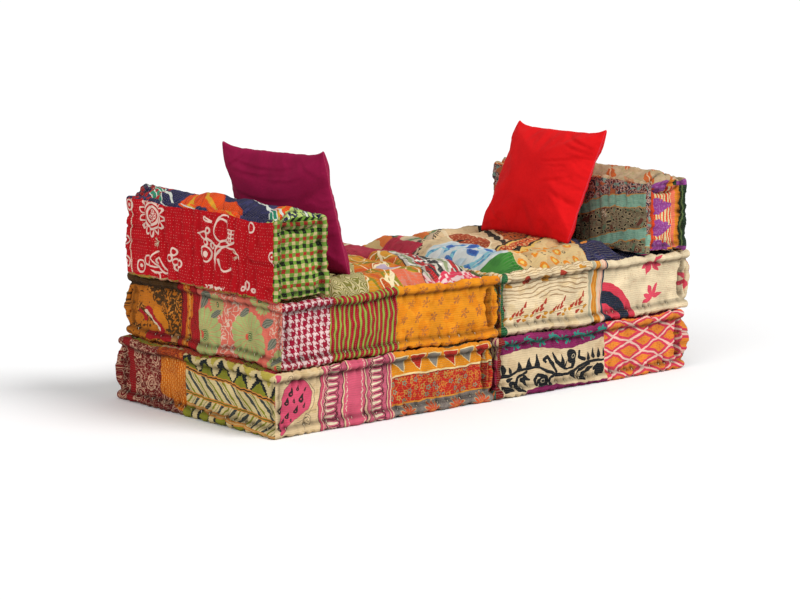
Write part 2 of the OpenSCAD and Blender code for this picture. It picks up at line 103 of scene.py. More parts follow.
class StitchedCushion:
    """The closed cover of one cushion. Its local axes run along, across and from face to face."""

    roll, groove, seam = 0.026, 0.0126, 0.0003
    tube = roll + groove - math.sqrt(2 * roll * groove)
    stitch_gaps, pleat_depth, wrinkle_depth, edge_step = (0.024, 0.050), 0.0082, 0.0032, 0.0025

    def __init__(self, name, panel, turn, step, seed):
        self.name, self.turn, self.seed = name, turn, seed
        border = np.array(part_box(f"{name}_border"))
        cloth = np.array(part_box(f"{name}_{panel}"))
        low, high = cloth[0] - self.roll - self.seam, cloth[1] + self.roll + self.seam
        low[turn[2]], high[turn[2]] = border[0][turn[2]], border[1][turn[2]]
        self.low, self.extent = low, high - low
        self.size = self.extent[turn]
        lines = [self.grid_lines(length, step) for length in self.size]
        skin = np.zeros([len(line) for line in lines], bool)
        skin[[0, -1]] = skin[:, [0, -1]] = skin[:, :, [0, -1]] = True
        index = np.cumsum(skin).reshape(skin.shape) - 1
        self.flat = np.stack(np.meshgrid(*lines, indexing="ij"), -1)[skin]
        self.quads, self.sides = [], []
        for axis in range(3):
            for side in (0, 1):
                sheet = np.take(index, -side, axis)
                ring = [sheet[:-1, :-1], sheet[1:, :-1], sheet[1:, 1:], sheet[:-1, 1:]]
                if (side == 1) == (axis == 1):
                    ring.reverse()
                self.quads.append(np.stack(ring, -1).reshape(-1, 4))
                self.sides.append(np.full((self.quads[-1].shape[0], 2), (axis, side)))
        self.quads, self.sides = np.concatenate(self.quads), np.concatenate(self.sides)
        self.lift = np.zeros(len(self.flat))
        self.roll_up()

    def grid_lines(self, length, step):
        """Places of the grid lines along one axis: close together over both rolls, a step apart between."""
        curve = self.tube * (1 - np.tan(np.radians(np.linspace(45, 0, 6))))
        fine = np.arange(self.tube + self.edge_step, self.roll + 0.017, self.edge_step)
        edge = np.concatenate([curve, fine])
        inner = length - 2 * edge[-1]
        count = max(2, round(inner / step))
        return np.concatenate([edge, edge[-1] + inner * np.arange(1, count) / count, length - edge[::-1]])

    def section(self, inset):
        """Height over the box at a distance from an edge: over the roll and down into the groove."""
        fall = np.sqrt(np.maximum(self.tube**2 - np.clip(inset - self.tube, 0, self.tube) ** 2, 0))
        return np.where(inset < self.roll, fall - self.tube, -self.groove)

    def belly(self, inset, reach):
        """Share of the climb from a groove to the full panel, steep at first."""
        return 1 - (1 - np.clip((inset - self.roll) / reach, 0, 1)) ** 2.1

    def roll_up(self):
        """Sets the places of the rolls, their grooves and the stitches that pinch them."""
        flat, size = self.flat, self.size
        self.near = np.minimum(flat, size - flat)
        core = np.clip(flat, self.tube, size - self.tube)
        out = flat - core
        self.normal = out / np.linalg.norm(out, axis=1)[:, None]
        self.skin = core + self.tube * self.normal
        self.on_face = self.near[:, 2] == 0
        self.inset = np.where(self.on_face, np.minimum(self.near[:, 0], self.near[:, 1]), self.near[:, 2])
        self.corner = np.where(self.near[:, 0] > self.near[:, 1], self.near[:, 0], self.near[:, 1])
        self.corner = np.where(self.on_face, self.corner, np.maximum(self.near[:, 0], self.near[:, 1]))
        self.lift += self.section(self.inset)
        # Each point carries a share of painted shade, which is laid into the grooves, pleats and ties below.
        self.hollow_shade, self.sewn, self.tufted = np.zeros(len(flat)), [], []
        draw = np.random.default_rng(self.seed)
        half = flat > size / 2
        along = np.where(self.near[:, 0] < self.near[:, 1], 1, 0)
        across = 1 - along
        for axis in (0, 1):
            for side in (0, 1):
                for level in (0, 1):
                    here = (along == axis) & (half[:, 2] == level)
                    here &= half[np.arange(len(flat)), across] == side
                    self.pinch(here, flat[:, axis], size[axis], self.inset, draw)
        for a in (0, 1):
            for b in (0, 1):
                here = ~self.on_face & (half[:, 0] == a) & (half[:, 1] == b)
                self.pinch(here, flat[:, 2], size[2], self.corner, draw,
                           0.9 * rise((self.inset - self.roll) / 0.008), False)

    def pinch(self, here, along, length, inset, draw, gate=1.0, sewn=True):
        """Stitches that pull a roll in at uneven steps, the pleats that run from them, and painted shade in
        both.
        """
        places = np.cumsum(draw.uniform(*self.stitch_gaps, int(length / self.stitch_gaps[0])))
        places = places[places < length - 0.03]
        depths = draw.uniform(0.3, 1.0, len(places))
        table = np.linspace(0, length, int(length / 0.001))
        pull = np.zeros_like(table)
        for place, depth in zip(places, depths):
            pull = np.maximum(pull, depth * np.exp(-(((table - place) / 0.0062) ** 2)))
        ripple = np.zeros_like(table)
        for wavelength in (0.0095, 0.0137, 0.021):
            ripple += np.sin(2 * math.pi * (table / wavelength + draw.uniform())) / 3
        ends = rise((np.minimum(table, length - table) - 0.022) / 0.02)
        pull, ripple = (np.interp(along, table, row * ends) for row in (pull, ripple))
        over = np.clip(inset / self.roll, 0, 1)
        cross = np.where(inset < self.roll, 0.4 + 0.6 * rise(abs(over - 0.4) / 0.6),
                         np.exp(-(((inset - self.roll) / 0.024) ** 2)))
        swell = np.where(inset < self.roll, 0.5, np.exp(-np.clip(inset - self.roll, 0, 1) / 0.036))
        drawn = self.pleat_depth * pull * cross + self.wrinkle_depth * ripple * swell
        self.lift -= np.where(here, gate * drawn, 0)
        # Painted shade along the groove and in each pleat.
        fold = np.exp(-(((inset - self.roll) / 0.0065) ** 2)) * (0.7 + 0.3 * pull) + 0.3 * pull * cross
        self.hollow_shade = np.where(here, np.maximum(self.hollow_shade, gate * fold), self.hollow_shade)
        if sewn:
            for place in places[depths > 0.45]:
                off = np.abs(along - place) + np.abs(inset - self.roll) + np.where(here, 0, 1)
                far = np.abs(along - place) + np.abs(inset - self.roll + 0.010) + np.where(here, 0, 1)
                self.sewn.append((int(off.argmin()), int(far.argmin())))

    def puff(self, axis, side, height, reach=0.066):
        """Lets one border panel swell between its grooves."""
        past_middle = self.flat[:, axis] > self.size[axis] / 2
        here = (self.near[:, axis] == 0) & (past_middle == bool(side)) & ~self.on_face
        other = self.near[:, 1 - axis]
        ends = 0.5 + 0.5 * rise(other / 0.06)
        climb = (height * ends + self.groove) * self.belly(self.inset, reach)
        self.lift += np.where(here, climb, 0)

    def ease(self, axis, side, level, start, end, height):
        """Fills the grooves of one edge over part of its length, where the cloth is gathered, not rolled."""
        along = self.flat[:, 1 - axis]
        edge = np.where(self.on_face, self.near[:, axis], self.near[:, 2])
        here = (self.flat[:, axis] > self.size[axis] / 2) == bool(side)
        here &= (self.flat[:, 2] > self.size[2] / 2) == bool(level)
        here &= self.on_face | (self.near[:, axis] == 0)
        window = rise((along - start) / 0.04) * rise((end - along) / 0.04)
        fill = np.exp(-(((edge - self.roll) / 0.012) ** 2)) * window
        self.lift += np.where(here, height * fill, 0)
        # Less painted shade where the groove is filled.
        self.hollow_shade = np.where(here, self.hollow_shade * (1 - 0.7 * fill), self.hollow_shade)

    def upright(self, strengths, beside=0.027, width=0.0040, depth=0.0105):
        """Stitches a curved groove beside each upright corner, stronger at some than at others."""
        other = np.maximum(self.near[:, 0], self.near[:, 1])
        half = (self.flat > self.size / 2).astype(int)
        strength = np.array(strengths)[half[:, 0], half[:, 1]] * rise((self.inset - self.roll) / 0.02)
        middle = beside + 0.009 * rise((self.inset - self.roll) / 0.05)
        middle += 0.0022 * Wander(self.seed + 5, 0.09).at(self.flat)
        valley = np.exp(-(((other - middle) / width) ** 2))
        valley -= 0.5 * np.exp(-(((other - middle + 0.014) / 0.009) ** 2))
        self.lift -= np.where(self.on_face, 0, depth * strength * valley)
        # Painted shade along the bottom of the curved groove.
        dark = 0.9 * strength * np.exp(-(((other - middle) / 0.0036) ** 2))
        self.hollow_shade = np.where(self.on_face, self.hollow_shade, np.maximum(self.hollow_shade, dark))

    def crown(self, side, height, reach, pressed=None, slope=0.07):
        """Lets one tied face swell, apart from a strip that a bolster presses flat."""
        flat, size = self.flat, self.size
        swell = np.ones(len(flat))
        for axis in (0, 1):
            swell *= rise((self.near[:, axis] - self.roll) / reach)
        climb = self.groove * self.belly(self.inset, 0.045)
        if pressed:
            end, width = pressed
            run = flat[:, 0] if end == 0 else size[0] - flat[:, 0]
            swell *= rise((run - width) / slope)
        here = self.on_face & ((flat[:, 2] > size[2] / 2) == bool(side))
        self.lift += np.where(here, height * swell + climb, 0)

    def tie(self, side, counts, dip, valley, spread=0.045):
        """Pulls one face in at its ties, with a valley from each to the next and to the nearer edge."""
        flat, size = self.flat, self.size
        here = self.on_face & ((flat[:, 2] > size[2] / 2) == bool(side))
        rows = [[length * (i + 0.5) / count for i in range(count)] for length, count in zip(size, counts)]
        points = [(x, y) for x in rows[0] for y in rows[1]]
        pull = np.zeros(len(flat))
        for x, y in points:
            reach = np.hypot(flat[:, 0] - x, flat[:, 1] - y)
            turn = np.arctan2(flat[:, 1] - y, flat[:, 0] - x)
            fold = 1 + 0.16 * np.sin(6 * turn + x * 40) * np.exp(-(((reach - 0.05) / 0.04) ** 2))
            pull = np.maximum(pull, dip * fold * (0.45 * np.exp(-((reach / 0.016) ** 2))
                                                  + 0.55 * np.exp(-reach / spread)))
        lines = [(p, q) for i, p in enumerate(points) for q in points[i + 1:] if p[0] == q[0] or p[1] == q[1]]
        lines += [((x, y), (x, 0.04 if y < size[1] / 2 else size[1] - 0.04)) for x, y in points]
        for (x, y), (u, v) in lines:
            line = np.array([u - x, v - y])
            share = np.clip(((flat[:, 0] - x) * line[0] + (flat[:, 1] - y) * line[1]) / (line @ line), 0, 1)
            gap = np.hypot(flat[:, 0] - x - share * line[0], flat[:, 1] - y - share * line[1])
            pull = np.maximum(pull, valley * (1 - 0.3 * share) * np.exp(-((gap / 0.022) ** 2)))
        self.lift -= np.where(here, pull, 0)
        nearest = [np.hypot(flat[:, 0] - x, flat[:, 1] - y) + np.where(here, 0, 1) for x, y in points]
        self.tufted += [int(gap.argmin()) for gap in nearest]
        # Painted shade in the dimple round each tie.
        for gap in nearest:
            self.hollow_shade = np.maximum(self.hollow_shade, 0.7 * np.exp(-((gap / 0.012) ** 2)))

    def ripple(self, height, wavelength):
        """Uneven stuffing under the cloth."""
        panel = rise((self.inset - self.roll) / 0.04)
        self.lift += height * Wander(self.seed + 1, wavelength).at(self.flat) * panel
        self.lift += 0.35 * height * Wander(self.seed + 2, wavelength / 4).at(self.flat) * panel
        self.lift += 0.0022 * Wander(self.seed + 3, 0.06).at(self.flat) * (self.inset < self.roll)

    def world(self, points):
        """Turns points on the cushion's own axes to the frame's axes, and moves them to its place."""
        placed = np.empty_like(points)
        placed[:, self.turn] = points
        return placed + self.low

    def settle(self, under=None, over=None, drawn=0.006, spread=((0, 0), (0, 0))):
        """Gives the final places: cushions sink into each other a little, and no side is straight."""
        points = self.world(self.skin + self.normal * self.lift[:, None])
        share = (points - self.low) / self.extent
        plan = points * (1, 1, 0)
        shift = np.zeros_like(points)
        edge = 1 - rise((self.inset - self.roll) / 0.09) * self.on_face
        if under:
            shift[:, 2] -= 0.5 * under[1] * (1 + under[0].at(plan)) * np.clip(1 - share[:, 2], 0, 1)
        if over:
            shift[:, 2] -= 0.5 * over[1] * (1 + over[0].at(plan)) * np.clip(share[:, 2], 0, 1) * edge
        for axis in (0, 1):
            shift[:, axis] += spread[axis][1] * share[:, axis] - spread[axis][0] * (1 - share[:, axis])
            for side in (0, 1):
                bend = Wander(self.seed + 10 + 2 * axis + side, 0.3).at(points * (1, 1, 1.6))
                depth = 0.5 * drawn * (1 + np.clip(bend, -1, 1))
                weight = np.clip(share[:, axis] if side else 1 - share[:, axis], 0, 1)
                shift[:, axis] += (1 - 2 * side) * depth * weight
        self.points = points + shift
        if not under:
            self.points[:, 2] = np.maximum(self.points[:, 2], 0)

    def coordinates(self, wraps):
        """The cloth's own map in metres: each side lies flat as seen from outside, and a border runs on
        over its rolls."""
        centres = self.flat[self.quads].mean(1)
        corners = self.flat[self.quads]
        near = np.minimum(centres, self.size - centres)
        axis, side = self.sides.T.copy()
        wrap = np.array(wraps)[side]
        rolled = (axis == 2) & (np.minimum(near[:, 0], near[:, 1]) < wrap)
        edge_axis = np.where(near[:, 0] < near[:, 1], 0, 1)
        rows = np.arange(len(centres))
        inset = np.take_along_axis(np.minimum(corners, self.size - corners),
                                   edge_axis[:, None, None], 2)[:, :, 0]
        beyond = np.where(side[:, None] == 1, self.size[2] + inset, -inset)
        corners[rolled, :, 2] = beyond[rolled]
        edge_side = (centres[rows, edge_axis] > self.size[edge_axis] / 2).astype(int)
        axis, side = np.where(rolled, edge_axis, axis), np.where(rolled, edge_side, side)
        flat = np.empty_like(corners)
        flat[:, :, self.turn] = corners
        axis = np.array(self.turn)[axis]
        u = np.where((axis == 0)[:, None], flat[:, :, 1], flat[:, :, 0])
        length = np.where(axis == 0, self.extent[1], self.extent[0])
        backward = ((axis == 0) & (side == 0)) | ((axis == 1) & (side == 1))
        u = np.where(backward[:, None], length[:, None] - u, u)
        v = np.where((axis == 2)[:, None], flat[:, :, 1], flat[:, :, 2])
        names = np.array([["left", "right"], ["front", "back"], ["bottom", "top"]])
        return names[axis, side], np.stack([u, v], -1)

    def cloth(self, patches, wraps):
        """The mesh with its patches. Each is given by its side, its right end in centimetres and its
        material, from left to right, and the last one on a side has no end."""
        sides, maps = self.coordinates(wraps)
        mesh = bpy.data.meshes.new(self.name)
        mesh.from_pydata(self.points.tolist(), [], self.quads.tolist())
        mesh.uv_layers.new(name="cloth")
        mesh.uv_layers["cloth"].data.foreach_set("uv", maps.reshape(-1).astype(np.float32))
        middle = maps.mean(1)[:, 0] * 100
        chosen = np.zeros(len(self.quads), int)
        materials = []
        for place, right_end, material in reversed(patches):
            if material not in materials:
                materials.append(material)
                mesh.materials.append(material)
            here = (sides == place) if place else np.ones(len(sides), bool)
            if right_end:
                here &= middle < right_end
            chosen[here] = materials.index(material)
        # The painted shade goes onto the points, for the material to darken the cloth with.
        hollow_shade = mesh.attributes.new("hollow_shade", "FLOAT", "POINT")
        hollow_shade.data.foreach_set("value", self.hollow_shade.astype(np.float32))
        mesh.polygons.foreach_set("material_index", chosen.astype(np.int32))
        mesh.polygons.foreach_set("use_smooth", np.ones(len(self.quads), bool))
        mesh.update()
        cover = bpy.data.objects.new(f"{self.name}_cover", mesh)
        bpy.context.scene.collection.objects.link(cover)
        return cover


class Dye:
    """One value or colour of a cloth's pattern. Sums on dyes become nodes of the cloth's material."""

    def __init__(self, cloth, socket):
        self.cloth, self.socket = cloth, socket

    def maths(self, operation, *others):
        """A maths node on this value and the others."""
        return self.cloth.node("Math", {"operation": operation}, [self, *others])

    def __add__(self, other):
        return self.maths("ADD", other)

    def __sub__(self, other):
        return self.maths("SUBTRACT", other)

    def __rsub__(self, other):
        return self.cloth.node("Math", {"operation": "SUBTRACT"}, [other, self])

    def __mul__(self, other):
        return self.maths("MULTIPLY", other)

    def __truediv__(self, other):
        return self.maths("DIVIDE", other)

    def __rtruediv__(self, other):
        return self.cloth.node("Math", {"operation": "DIVIDE"}, [other, self])

    def __pow__(self, other):
        return self.maths("POWER", other)

    def __abs__(self):
        return self.maths("ABSOLUTE")

    def __lt__(self, limit):
        return self.cloth.between(limit - self if isinstance(limit, Dye) else self * -1 + limit)

    def __gt__(self, limit):
        return self.cloth.between(self - limit)

    __radd__, __rmul__ = __add__, __mul__

    def __and__(self, other):
        return self.maths("MINIMUM", other)

    def __or__(self, other):
        return self.maths("MAXIMUM", other)

    def sine(self, period, start=0.0):
        """A wave from -1 to 1 that rises through nought at the start."""
        return ((self - start) * (2 * math.pi / period)).maths("SINE")

    def beat(self, period, start=0.0):
        """Distance to the nearest of many lines, one period apart."""
        return (self - start).maths("PINGPONG", period / 2)

    def wrapped(self, period, start=0.0):
        """Place within one repeat, from minus half a period to half a period."""
        return (self - start).maths("WRAP", period / 2, -period / 2)

    def count(self, period, start=0.0):
        """Number of the repeat that this place is in."""
        return ((self - start) / period + 0.5).maths("FLOOR")

    def odd(self, period, start=0.0):
        """One in every second repeat, nought in the others."""
        half = self.count(period, start) * 0.5
        return half - half.maths("FLOOR") > 0.25


def ink(code):
    """The linear colour of a six-digit code."""
    levels = [int(code[i:i + 2], 16) / 255 for i in (1, 3, 5)]
    return [c / 12.92 if c < 0.04 else ((c + 0.055) / 1.055) ** 2.4 for c in levels] + [1]


class Cloth:
    """A patch of cotton. Its pattern is drawn in centimetres on the cloth's own map."""

    def __init__(self, name, wobble=0.16, soft=0.02, lap=3.5):
        self.material = bpy.data.materials.new(name)
        self.material.use_nodes = True
        self.tree = self.material.node_tree
        self.shader = self.tree.nodes["Principled BSDF"]
        self.soft = soft
        place = self.node("UVMap", {"uv_map": "cloth"}, output="UV")
        place = self.node("VectorMath", {"operation": "SCALE"}, {0: place, "Scale": 100.0})
        self.even = place
        if wobble:
            drift = self.node("TexNoise", {"noise_dimensions": "2D"},
                              {"Vector": place, "Scale": 1 / lap, "Detail": 1.5}, "Color")
            drift = self.node("VectorMath", {"operation": "SUBTRACT"}, [drift, (0.5, 0.5, 0.5)])
            drift = self.node("VectorMath", {"operation": "SCALE"}, {0: drift, "Scale": 6 * wobble})
            place = self.node("VectorMath", {"operation": "ADD"}, [place, drift])
        self.place = place
        self.u, self.v = self.parts(place)

    def node(self, kind, settings=None, sockets=(), output=0):
        """Adds a shader node, sets it up, and returns one of its outputs as a dye."""
        made = self.tree.nodes.new("ShaderNode" + kind)
        for setting, value in (settings or {}).items():
            setattr(made, setting, value)
        for key, value in sockets.items() if isinstance(sockets, dict) else enumerate(sockets):
            if isinstance(value, Dye):
                self.tree.links.new(value.socket, made.inputs[key])
            else:
                made.inputs[key].default_value = value
        return Dye(self, made.outputs[output])

    def parts(self, vector):
        """The first two coordinates of a vector."""
        return [self.node("SeparateXYZ", {}, [vector], axis) for axis in ("X", "Y")]

    def at(self, x, y):
        """Two values as one vector."""
        return self.node("CombineXYZ", {}, [x, y])

    def between(self, height):
        """One above zero and nothing below it, with a soft step."""
        return self.node("MapRange", {}, {0: height, 1: -self.soft, 2: self.soft})

    def noise(self, size, detail=2.0, place=None):
        """A cloudy value round a half, whose clouds are about one size wide."""
        return self.node("TexNoise", {"noise_dimensions": "2D"},
                         {"Vector": place or self.place, "Scale": 1 / size, "Detail": detail})

    def chance(self, *cells):
        """A number from 0 to 1 that differs from cell to cell."""
        return self.node("TexWhiteNoise", {"noise_dimensions": "2D"}, {"Vector": self.at(*cells)}, "Value")

    def scattered(self, pitch, loose):
        """Coordinates round the nearest of many scattered spots, and that spot's own number."""
        sockets = {"Vector": self.place, "Scale": 1 / pitch, "Randomness": loose}
        settings = {"voronoi_dimensions": "2D"}
        spot = self.parts(self.node("TexVoronoi", settings, sockets, "Position"))
        number = self.node("TexVoronoi", settings, sockets, "Color")
        here = self.parts(self.place)
        return here[0] - spot[0], here[1] - spot[1], self.parts(number)[0]

    def reach(self, x, y):
        """Distance from a middle."""
        return (x * x + y * y) ** 0.5

    def round(self, x, y):
        """Distance and direction from a middle."""
        return self.reach(x, y), y.maths("ARCTAN2", x)

    def turned(self, x, y, degrees):
        """The same place on axes turned about the middle."""
        c, s = math.cos(math.radians(degrees)), math.sin(math.radians(degrees))
        return x * c + y * s, y * c - x * s

    def leaf(self, x, y, length, width, blunt=0.8):
        """How far inside a leaf that points along x and has its foot at the middle."""
        share = (x / length).maths("MINIMUM", 1.0).maths("MAXIMUM", 0.0)
        return (share * (1 - share) * 4) ** blunt * (width / 2) - abs(y)

    def leaf_at(self, x, y, degrees, length, width, blunt=0.8):
        """The same for a leaf with its foot at one place of the cloth, turned by an angle."""
        return self.leaf(*self.turned(self.u - x, self.v - y, degrees), length, width, blunt)

    def petals(self, x, y, count, inner, outer, slim=0.75):
        """A ring of petals round the middle."""
        reach, turn = self.round(x, y)
        wave = abs((turn * (count / 2)).maths("COSINE"))
        return (reach > inner) & (reach < wave ** slim * (outer - inner) + inner)

    def ring(self, x, y, radius, width):
        """A round line about the middle."""
        return abs(self.reach(x, y) - radius) < width / 2

    def drop(self, x, y, start, wide, end, narrow):
        """How far inside a rounded shape that tapers from one point to another."""
        along = (end[0] - start[0], end[1] - start[1])
        length = along[0] ** 2 + along[1] ** 2
        share = (x - start[0]) * (along[0] / length) + (y - start[1]) * (along[1] / length)
        share = share.maths("MINIMUM", 1.0).maths("MAXIMUM", 0.0)
        gap = self.reach(x - start[0] - share * along[0], y - start[1] - share * along[1])
        return share * (narrow - wide) + wide - gap

    def scrolls(self, size, width):
        """Thin curling lines, where a noise passes its middle."""
        return abs(self.noise(size, 0.6) - 0.5) * (2 * size) < width * 2 * size

    def colour(self, value):
        """A colour code as a colour, and anything else as it is."""
        return ink(value) if isinstance(value, str) else value

    def mix(self, amount, under, over):
        """One colour laid over another by an amount from 0 to 1."""
        colours = {6: self.colour(under), 7: self.colour(over)}
        return self.node("Mix", {"data_type": "RGBA"}, {0: amount, **colours}, 2)

    def paint(self, ground, *coats):
        """Lays colours over a ground one by one, each where its mask is."""
        for mask, colour in coats:
            ground = self.mix(mask, ground, colour)
        return ground

    def flecked(self, ground, size, limit, fleck):
        """A ground flecked where clouds of one size rise over a limit."""
        return self.paint(ground, (self.noise(size) > limit, fleck))

    def joined(self, masks):
        """Many masks as one."""
        whole = None
        for mask in masks:
            whole = mask if whole is None else whole | mask
        return whole

    def choose(self, value, *colours):
        """One of several colours for a number from 0 to 1."""
        chosen = self.colour(colours[0])
        for i, colour in enumerate(colours[1:], 1):
            chosen = self.mix(value.maths("GREATER_THAN", i / len(colours)), chosen, colour)
        return chosen

    def sew(self, colour, thread="#efe3c8", show=0.25, rows=0.62, dash=0.5, upright=False, wear=0.35,
            weave=1.0, quilted=1.0):
        """Finishes a patch: running stitches in rows through old cotton, fading, painted shade and the weave.
        """
        across, along = self.parts(self.even)
        if upright:
            across, along = along, across
        row = along + self.noise(5.0, 1.0, self.even) * 0.9
        shift = self.chance(row.count(rows), 3.0)
        stitch = abs(row.wrapped(rows))
        on_row = self.node("MapRange", {}, {0: stitch, 1: 0.085, 2: 0.035})
        gap = (across + shift * dash).beat(dash)
        on_dash = self.node("MapRange", {}, {0: gap, 1: dash * 0.22, 2: dash * 0.32})
        # Painted shade, read from the cushion's points, darkens its grooves, pleats and ties.
        hollow_shade = self.node("Attribute", {"attribute_name": "hollow_shade"}, (), "Fac")
        shade = self.node("MapRange", {}, {0: self.noise(6.0, 3.0, self.even), 1: 0.25, 2: 0.75,
                                           3: 1 - wear * 0.5, 4: 1 + wear * 0.3})
        # Painted shade along the quilting: the sunken rows of stitches are darker and the cloth between them
        # lighter.
        quilt = self.node("MapRange", {}, {0: stitch, 1: 0.0, 2: rows * 0.5})
        shade = shade * (quilt * (0.12 * quilted) + 1 - 0.08 * quilted) * (1 - hollow_shade * 0.75)
        grey = self.node("CombineXYZ", {}, [shade, shade, shade])
        colour = self.node("Mix", {"data_type": "RGBA", "blend_type": "MULTIPLY"},
                           {0: 1.0, 6: self.colour(colour), 7: grey}, 2)
        colour = self.mix(on_row * on_dash * show, colour, thread)
        grain = self.noise(0.16, 2.0, self.even)
        pale = self.node("MapRange", {}, {0: grain, 1: 0.4, 2: 0.7, 3: 0.0, 4: 0.04 * wear})
        colour = self.mix(pale, colour, "#f2e8d6")
        self.tree.links.new(colour.socket, self.shader.inputs["Base Color"])
        height = (quilt ** 0.5) * (0.8 * quilted) + self.noise(0.9, 3.0, self.even) * 0.9
        height = height + grain * (0.35 * weave)
        bump = self.node("Bump", {}, {"Height": height, "Strength": 0.7, "Distance": 0.0014}, "Normal")
        self.tree.links.new(bump.socket, self.shader.inputs["Normal"])
        self.shader.inputs["Roughness"].default_value = 0.9
        self.shader.inputs["Specular IOR Level"].default_value = 0.08
        self.shader.inputs["Sheen Weight"].default_value = 0.015
        return self.material


def maroon_batik():
    """Maroon batik full of pale scrolls, with an orange patch let in behind a curved seam."""
    cloth = Cloth("maroon_batik_and_orange", wobble=0.22)
    u, v = cloth.u, cloth.v
    seam = ((5.5 - v).maths("MAXIMUM", 0.0) ** 1.5) * 1.3 + 19.5
    band = abs(u + v * 0.12 - 7.2) < 1.5
    lines = cloth.scrolls(2.0, 0.016) | cloth.scrolls(1.1, 0.02)
    x, y, number = cloth.scattered(6.5, loose=0.6)
    rings = cloth.ring(x, y, 1.3, 0.3) | cloth.petals(x, y, 8, 1.7, 2.4) | cloth.ring(x, y, 0.4, 0.3)
    rows = (v.beat(1.3) < 0.14) & (u.beat(0.7) < 0.2)
    clear = cloth.reach(x, y) < 2.6
    lines = lines & (1 - (clear & (number > 0.4))) | (rings & (number > 0.4))
    lines = lines & (1 - band) | (rows & (abs(u - 16) < 2) & (v < 13))
    ground = cloth.paint("#7a1216", (cloth.noise(4.0) > 0.56, "#6c0e12"), (band, "#940f16"),
                         (lines, "#d2a284"))
    ground = cloth.mix((v < 2.2) & (u > 14), ground, cloth.mix(lines, "#640e12", "#b08870"))
    dash = (u.beat(0.8) < 0.12) & ((v + u.count(0.8) * 0.55).beat(1.2) < 0.42)
    orange = cloth.paint("#cf6a10", (cloth.noise(3.5) > 0.55, "#c25c0c"), (dash, "#f0a850"))
    speck = cloth.noise(0.5, 1.0) > 0.55
    top = cloth.paint("#b4481a", (speck, "#7c2412"), (cloth.noise(1.8) > 0.6, "#c86a20"))
    orange = cloth.mix(v > 15.2, orange, top)
    return cloth.sew(cloth.mix(u > seam, ground, orange), show=0.12)


def green_flame():
    """Cream, olive and black, in slanted bars between three corded lines, with ragged flames above."""
    cloth = Cloth("green_flame", wobble=0.16)
    u, v = cloth.u, cloth.v
    first = v + (u - 31) * 0.1026 - 14.0
    second = v + (u - 31) * 0.0737 - 7.2
    third = v + (u - 36) * 0.0909 - 3.4
    cream, olive, black = "#e2cc94", "#8c8c28", "#1c2426"
    bar = (u + v).wrapped(5.5, 45.6)
    hatched = cloth.mix((v - u * 0.3).beat(0.42) < 0.11, black, "#5a6058")
    upper = cloth.paint(cream, (abs(bar) < 0.62, hatched), (abs(bar - 2.5) < 0.55, olive),
                        (abs(bar - 1.35) < 0.1, "#6a6a3a"))
    bar = (u - v).wrapped(5.5, 36.0)
    lower = cloth.paint(cream, (abs(bar) < 0.6, hatched), (abs(bar - 2.6) < 0.6, olive),
                        (abs(bar + 1.5) < 0.1, "#6a6a3a"))
    dip = u.beat(7.4, 36.5)
    tooth = v.beat(0.75) * 1.3 + cloth.noise(0.5, 1.0) * 0.6
    inside = (first - 0.9) * 0.6 - dip + tooth * 0.8
    flames = cloth.paint(olive, (inside > (first - 1.4) * -0.33 - 0.9, black), (inside > 0, cream),
                         (inside > 1.9, "#c2b04a"))
    foot = u.beat(7.4, 36.2) + v.beat(0.6) * 0.8
    hem = cloth.paint(olive, (foot < 1.9, black), (foot < 1.1, cream))
    ground = cloth.paint(hem, (third > 0, lower), (second > 0, upper), (first > 0, flames))
    for height, middle in ((first, "#2a2418"), (second, "#5a6a20"), (third, "#d8b070")):
        height = height + u.beat(2.1) * 0.16
        ground = cloth.paint(ground, (abs(height) < 0.52, "#d98c3c"), (abs(height) < 0.17, middle))
    return cloth.sew(ground, show=0.1)


def pink_paisley():
    """Cream with a pink drop full of seeds, thin spirals, and the edge of more pink leaves."""
    cloth = Cloth("pink_paisley", wobble=0.18)
    u, v = cloth.u, cloth.v
    drop = cloth.drop(u, v, (8.6, 10.0), 5.3, (2.4, 1.4), 0.3)
    ground = cloth.flecked("#e2c79a", 4.0, 0.58, "#d8bb8a")
    for x, y, turns in ((5.6, 16.0, 1.5), (12.8, 3.8, 1.6)):
        reach, turn = cloth.round(u - x, v - y)
        ground = cloth.mix((abs((reach - turn * 0.11).wrapped(0.7)) < 0.07) & (reach < turns), ground,
                           "#4a4038")
    arc = cloth.ring(u - 8.5, v - 9.5, 6.3, 0.13) & (u > 9)
    arc = arc | (cloth.ring(u - 14.5, v - 3, 3.2, 0.12) & (v > 3))
    ground = cloth.paint(ground, (arc | (abs(u - 11.2 - (v - 3) * 0.02) < 0.07) & (v < 4), "#5a5048"))
    seeds = []
    for x, y, size in ((6.6, 12.0, 1.15), (9.9, 10.0, 1.1), (5.0, 9.6, 1.05), (2.9, 7.7, 1.0),
                       (8.0, 7.2, 1.05), (5.4, 5.7, 0.95), (3.8, 4.3, 0.7), (2.3, 2.9, 0.75),
                       (9.0, 13.0, 0.7), (11.2, 12.2, 0.6), (7.4, 9.6, 0.6), (11.0, 8.0, 0.6),
                       (6.6, 4.2, 0.5)):
        seed = cloth.drop(u, v, (x, y - size * 0.2), size * 0.74, (x + size * 0.6, y + size * 1.15), 0.12)
        hole = cloth.ring(u - x, v - y + size * 0.2, 0.0, size * 0.4)
        seeds.append((seed > 0) & (1 - hole))
    edge = cloth.drop(u, v, (-1.6, 9.5), 2.6, (-0.5, 14), 0.4) > 0
    edge = edge | (cloth.drop(u, v, (1.3, 17.5), 1.1, (1.2, 15.0), 0.1) > 0)
    ground = cloth.paint(ground, (drop > -0.16, "#8c5a58"), (drop > 0, "#d84f6e"),
                         (cloth.joined(seeds), "#2c2424"), (edge, "#d2506c"))
    return cloth.sew(ground, show=0.08)


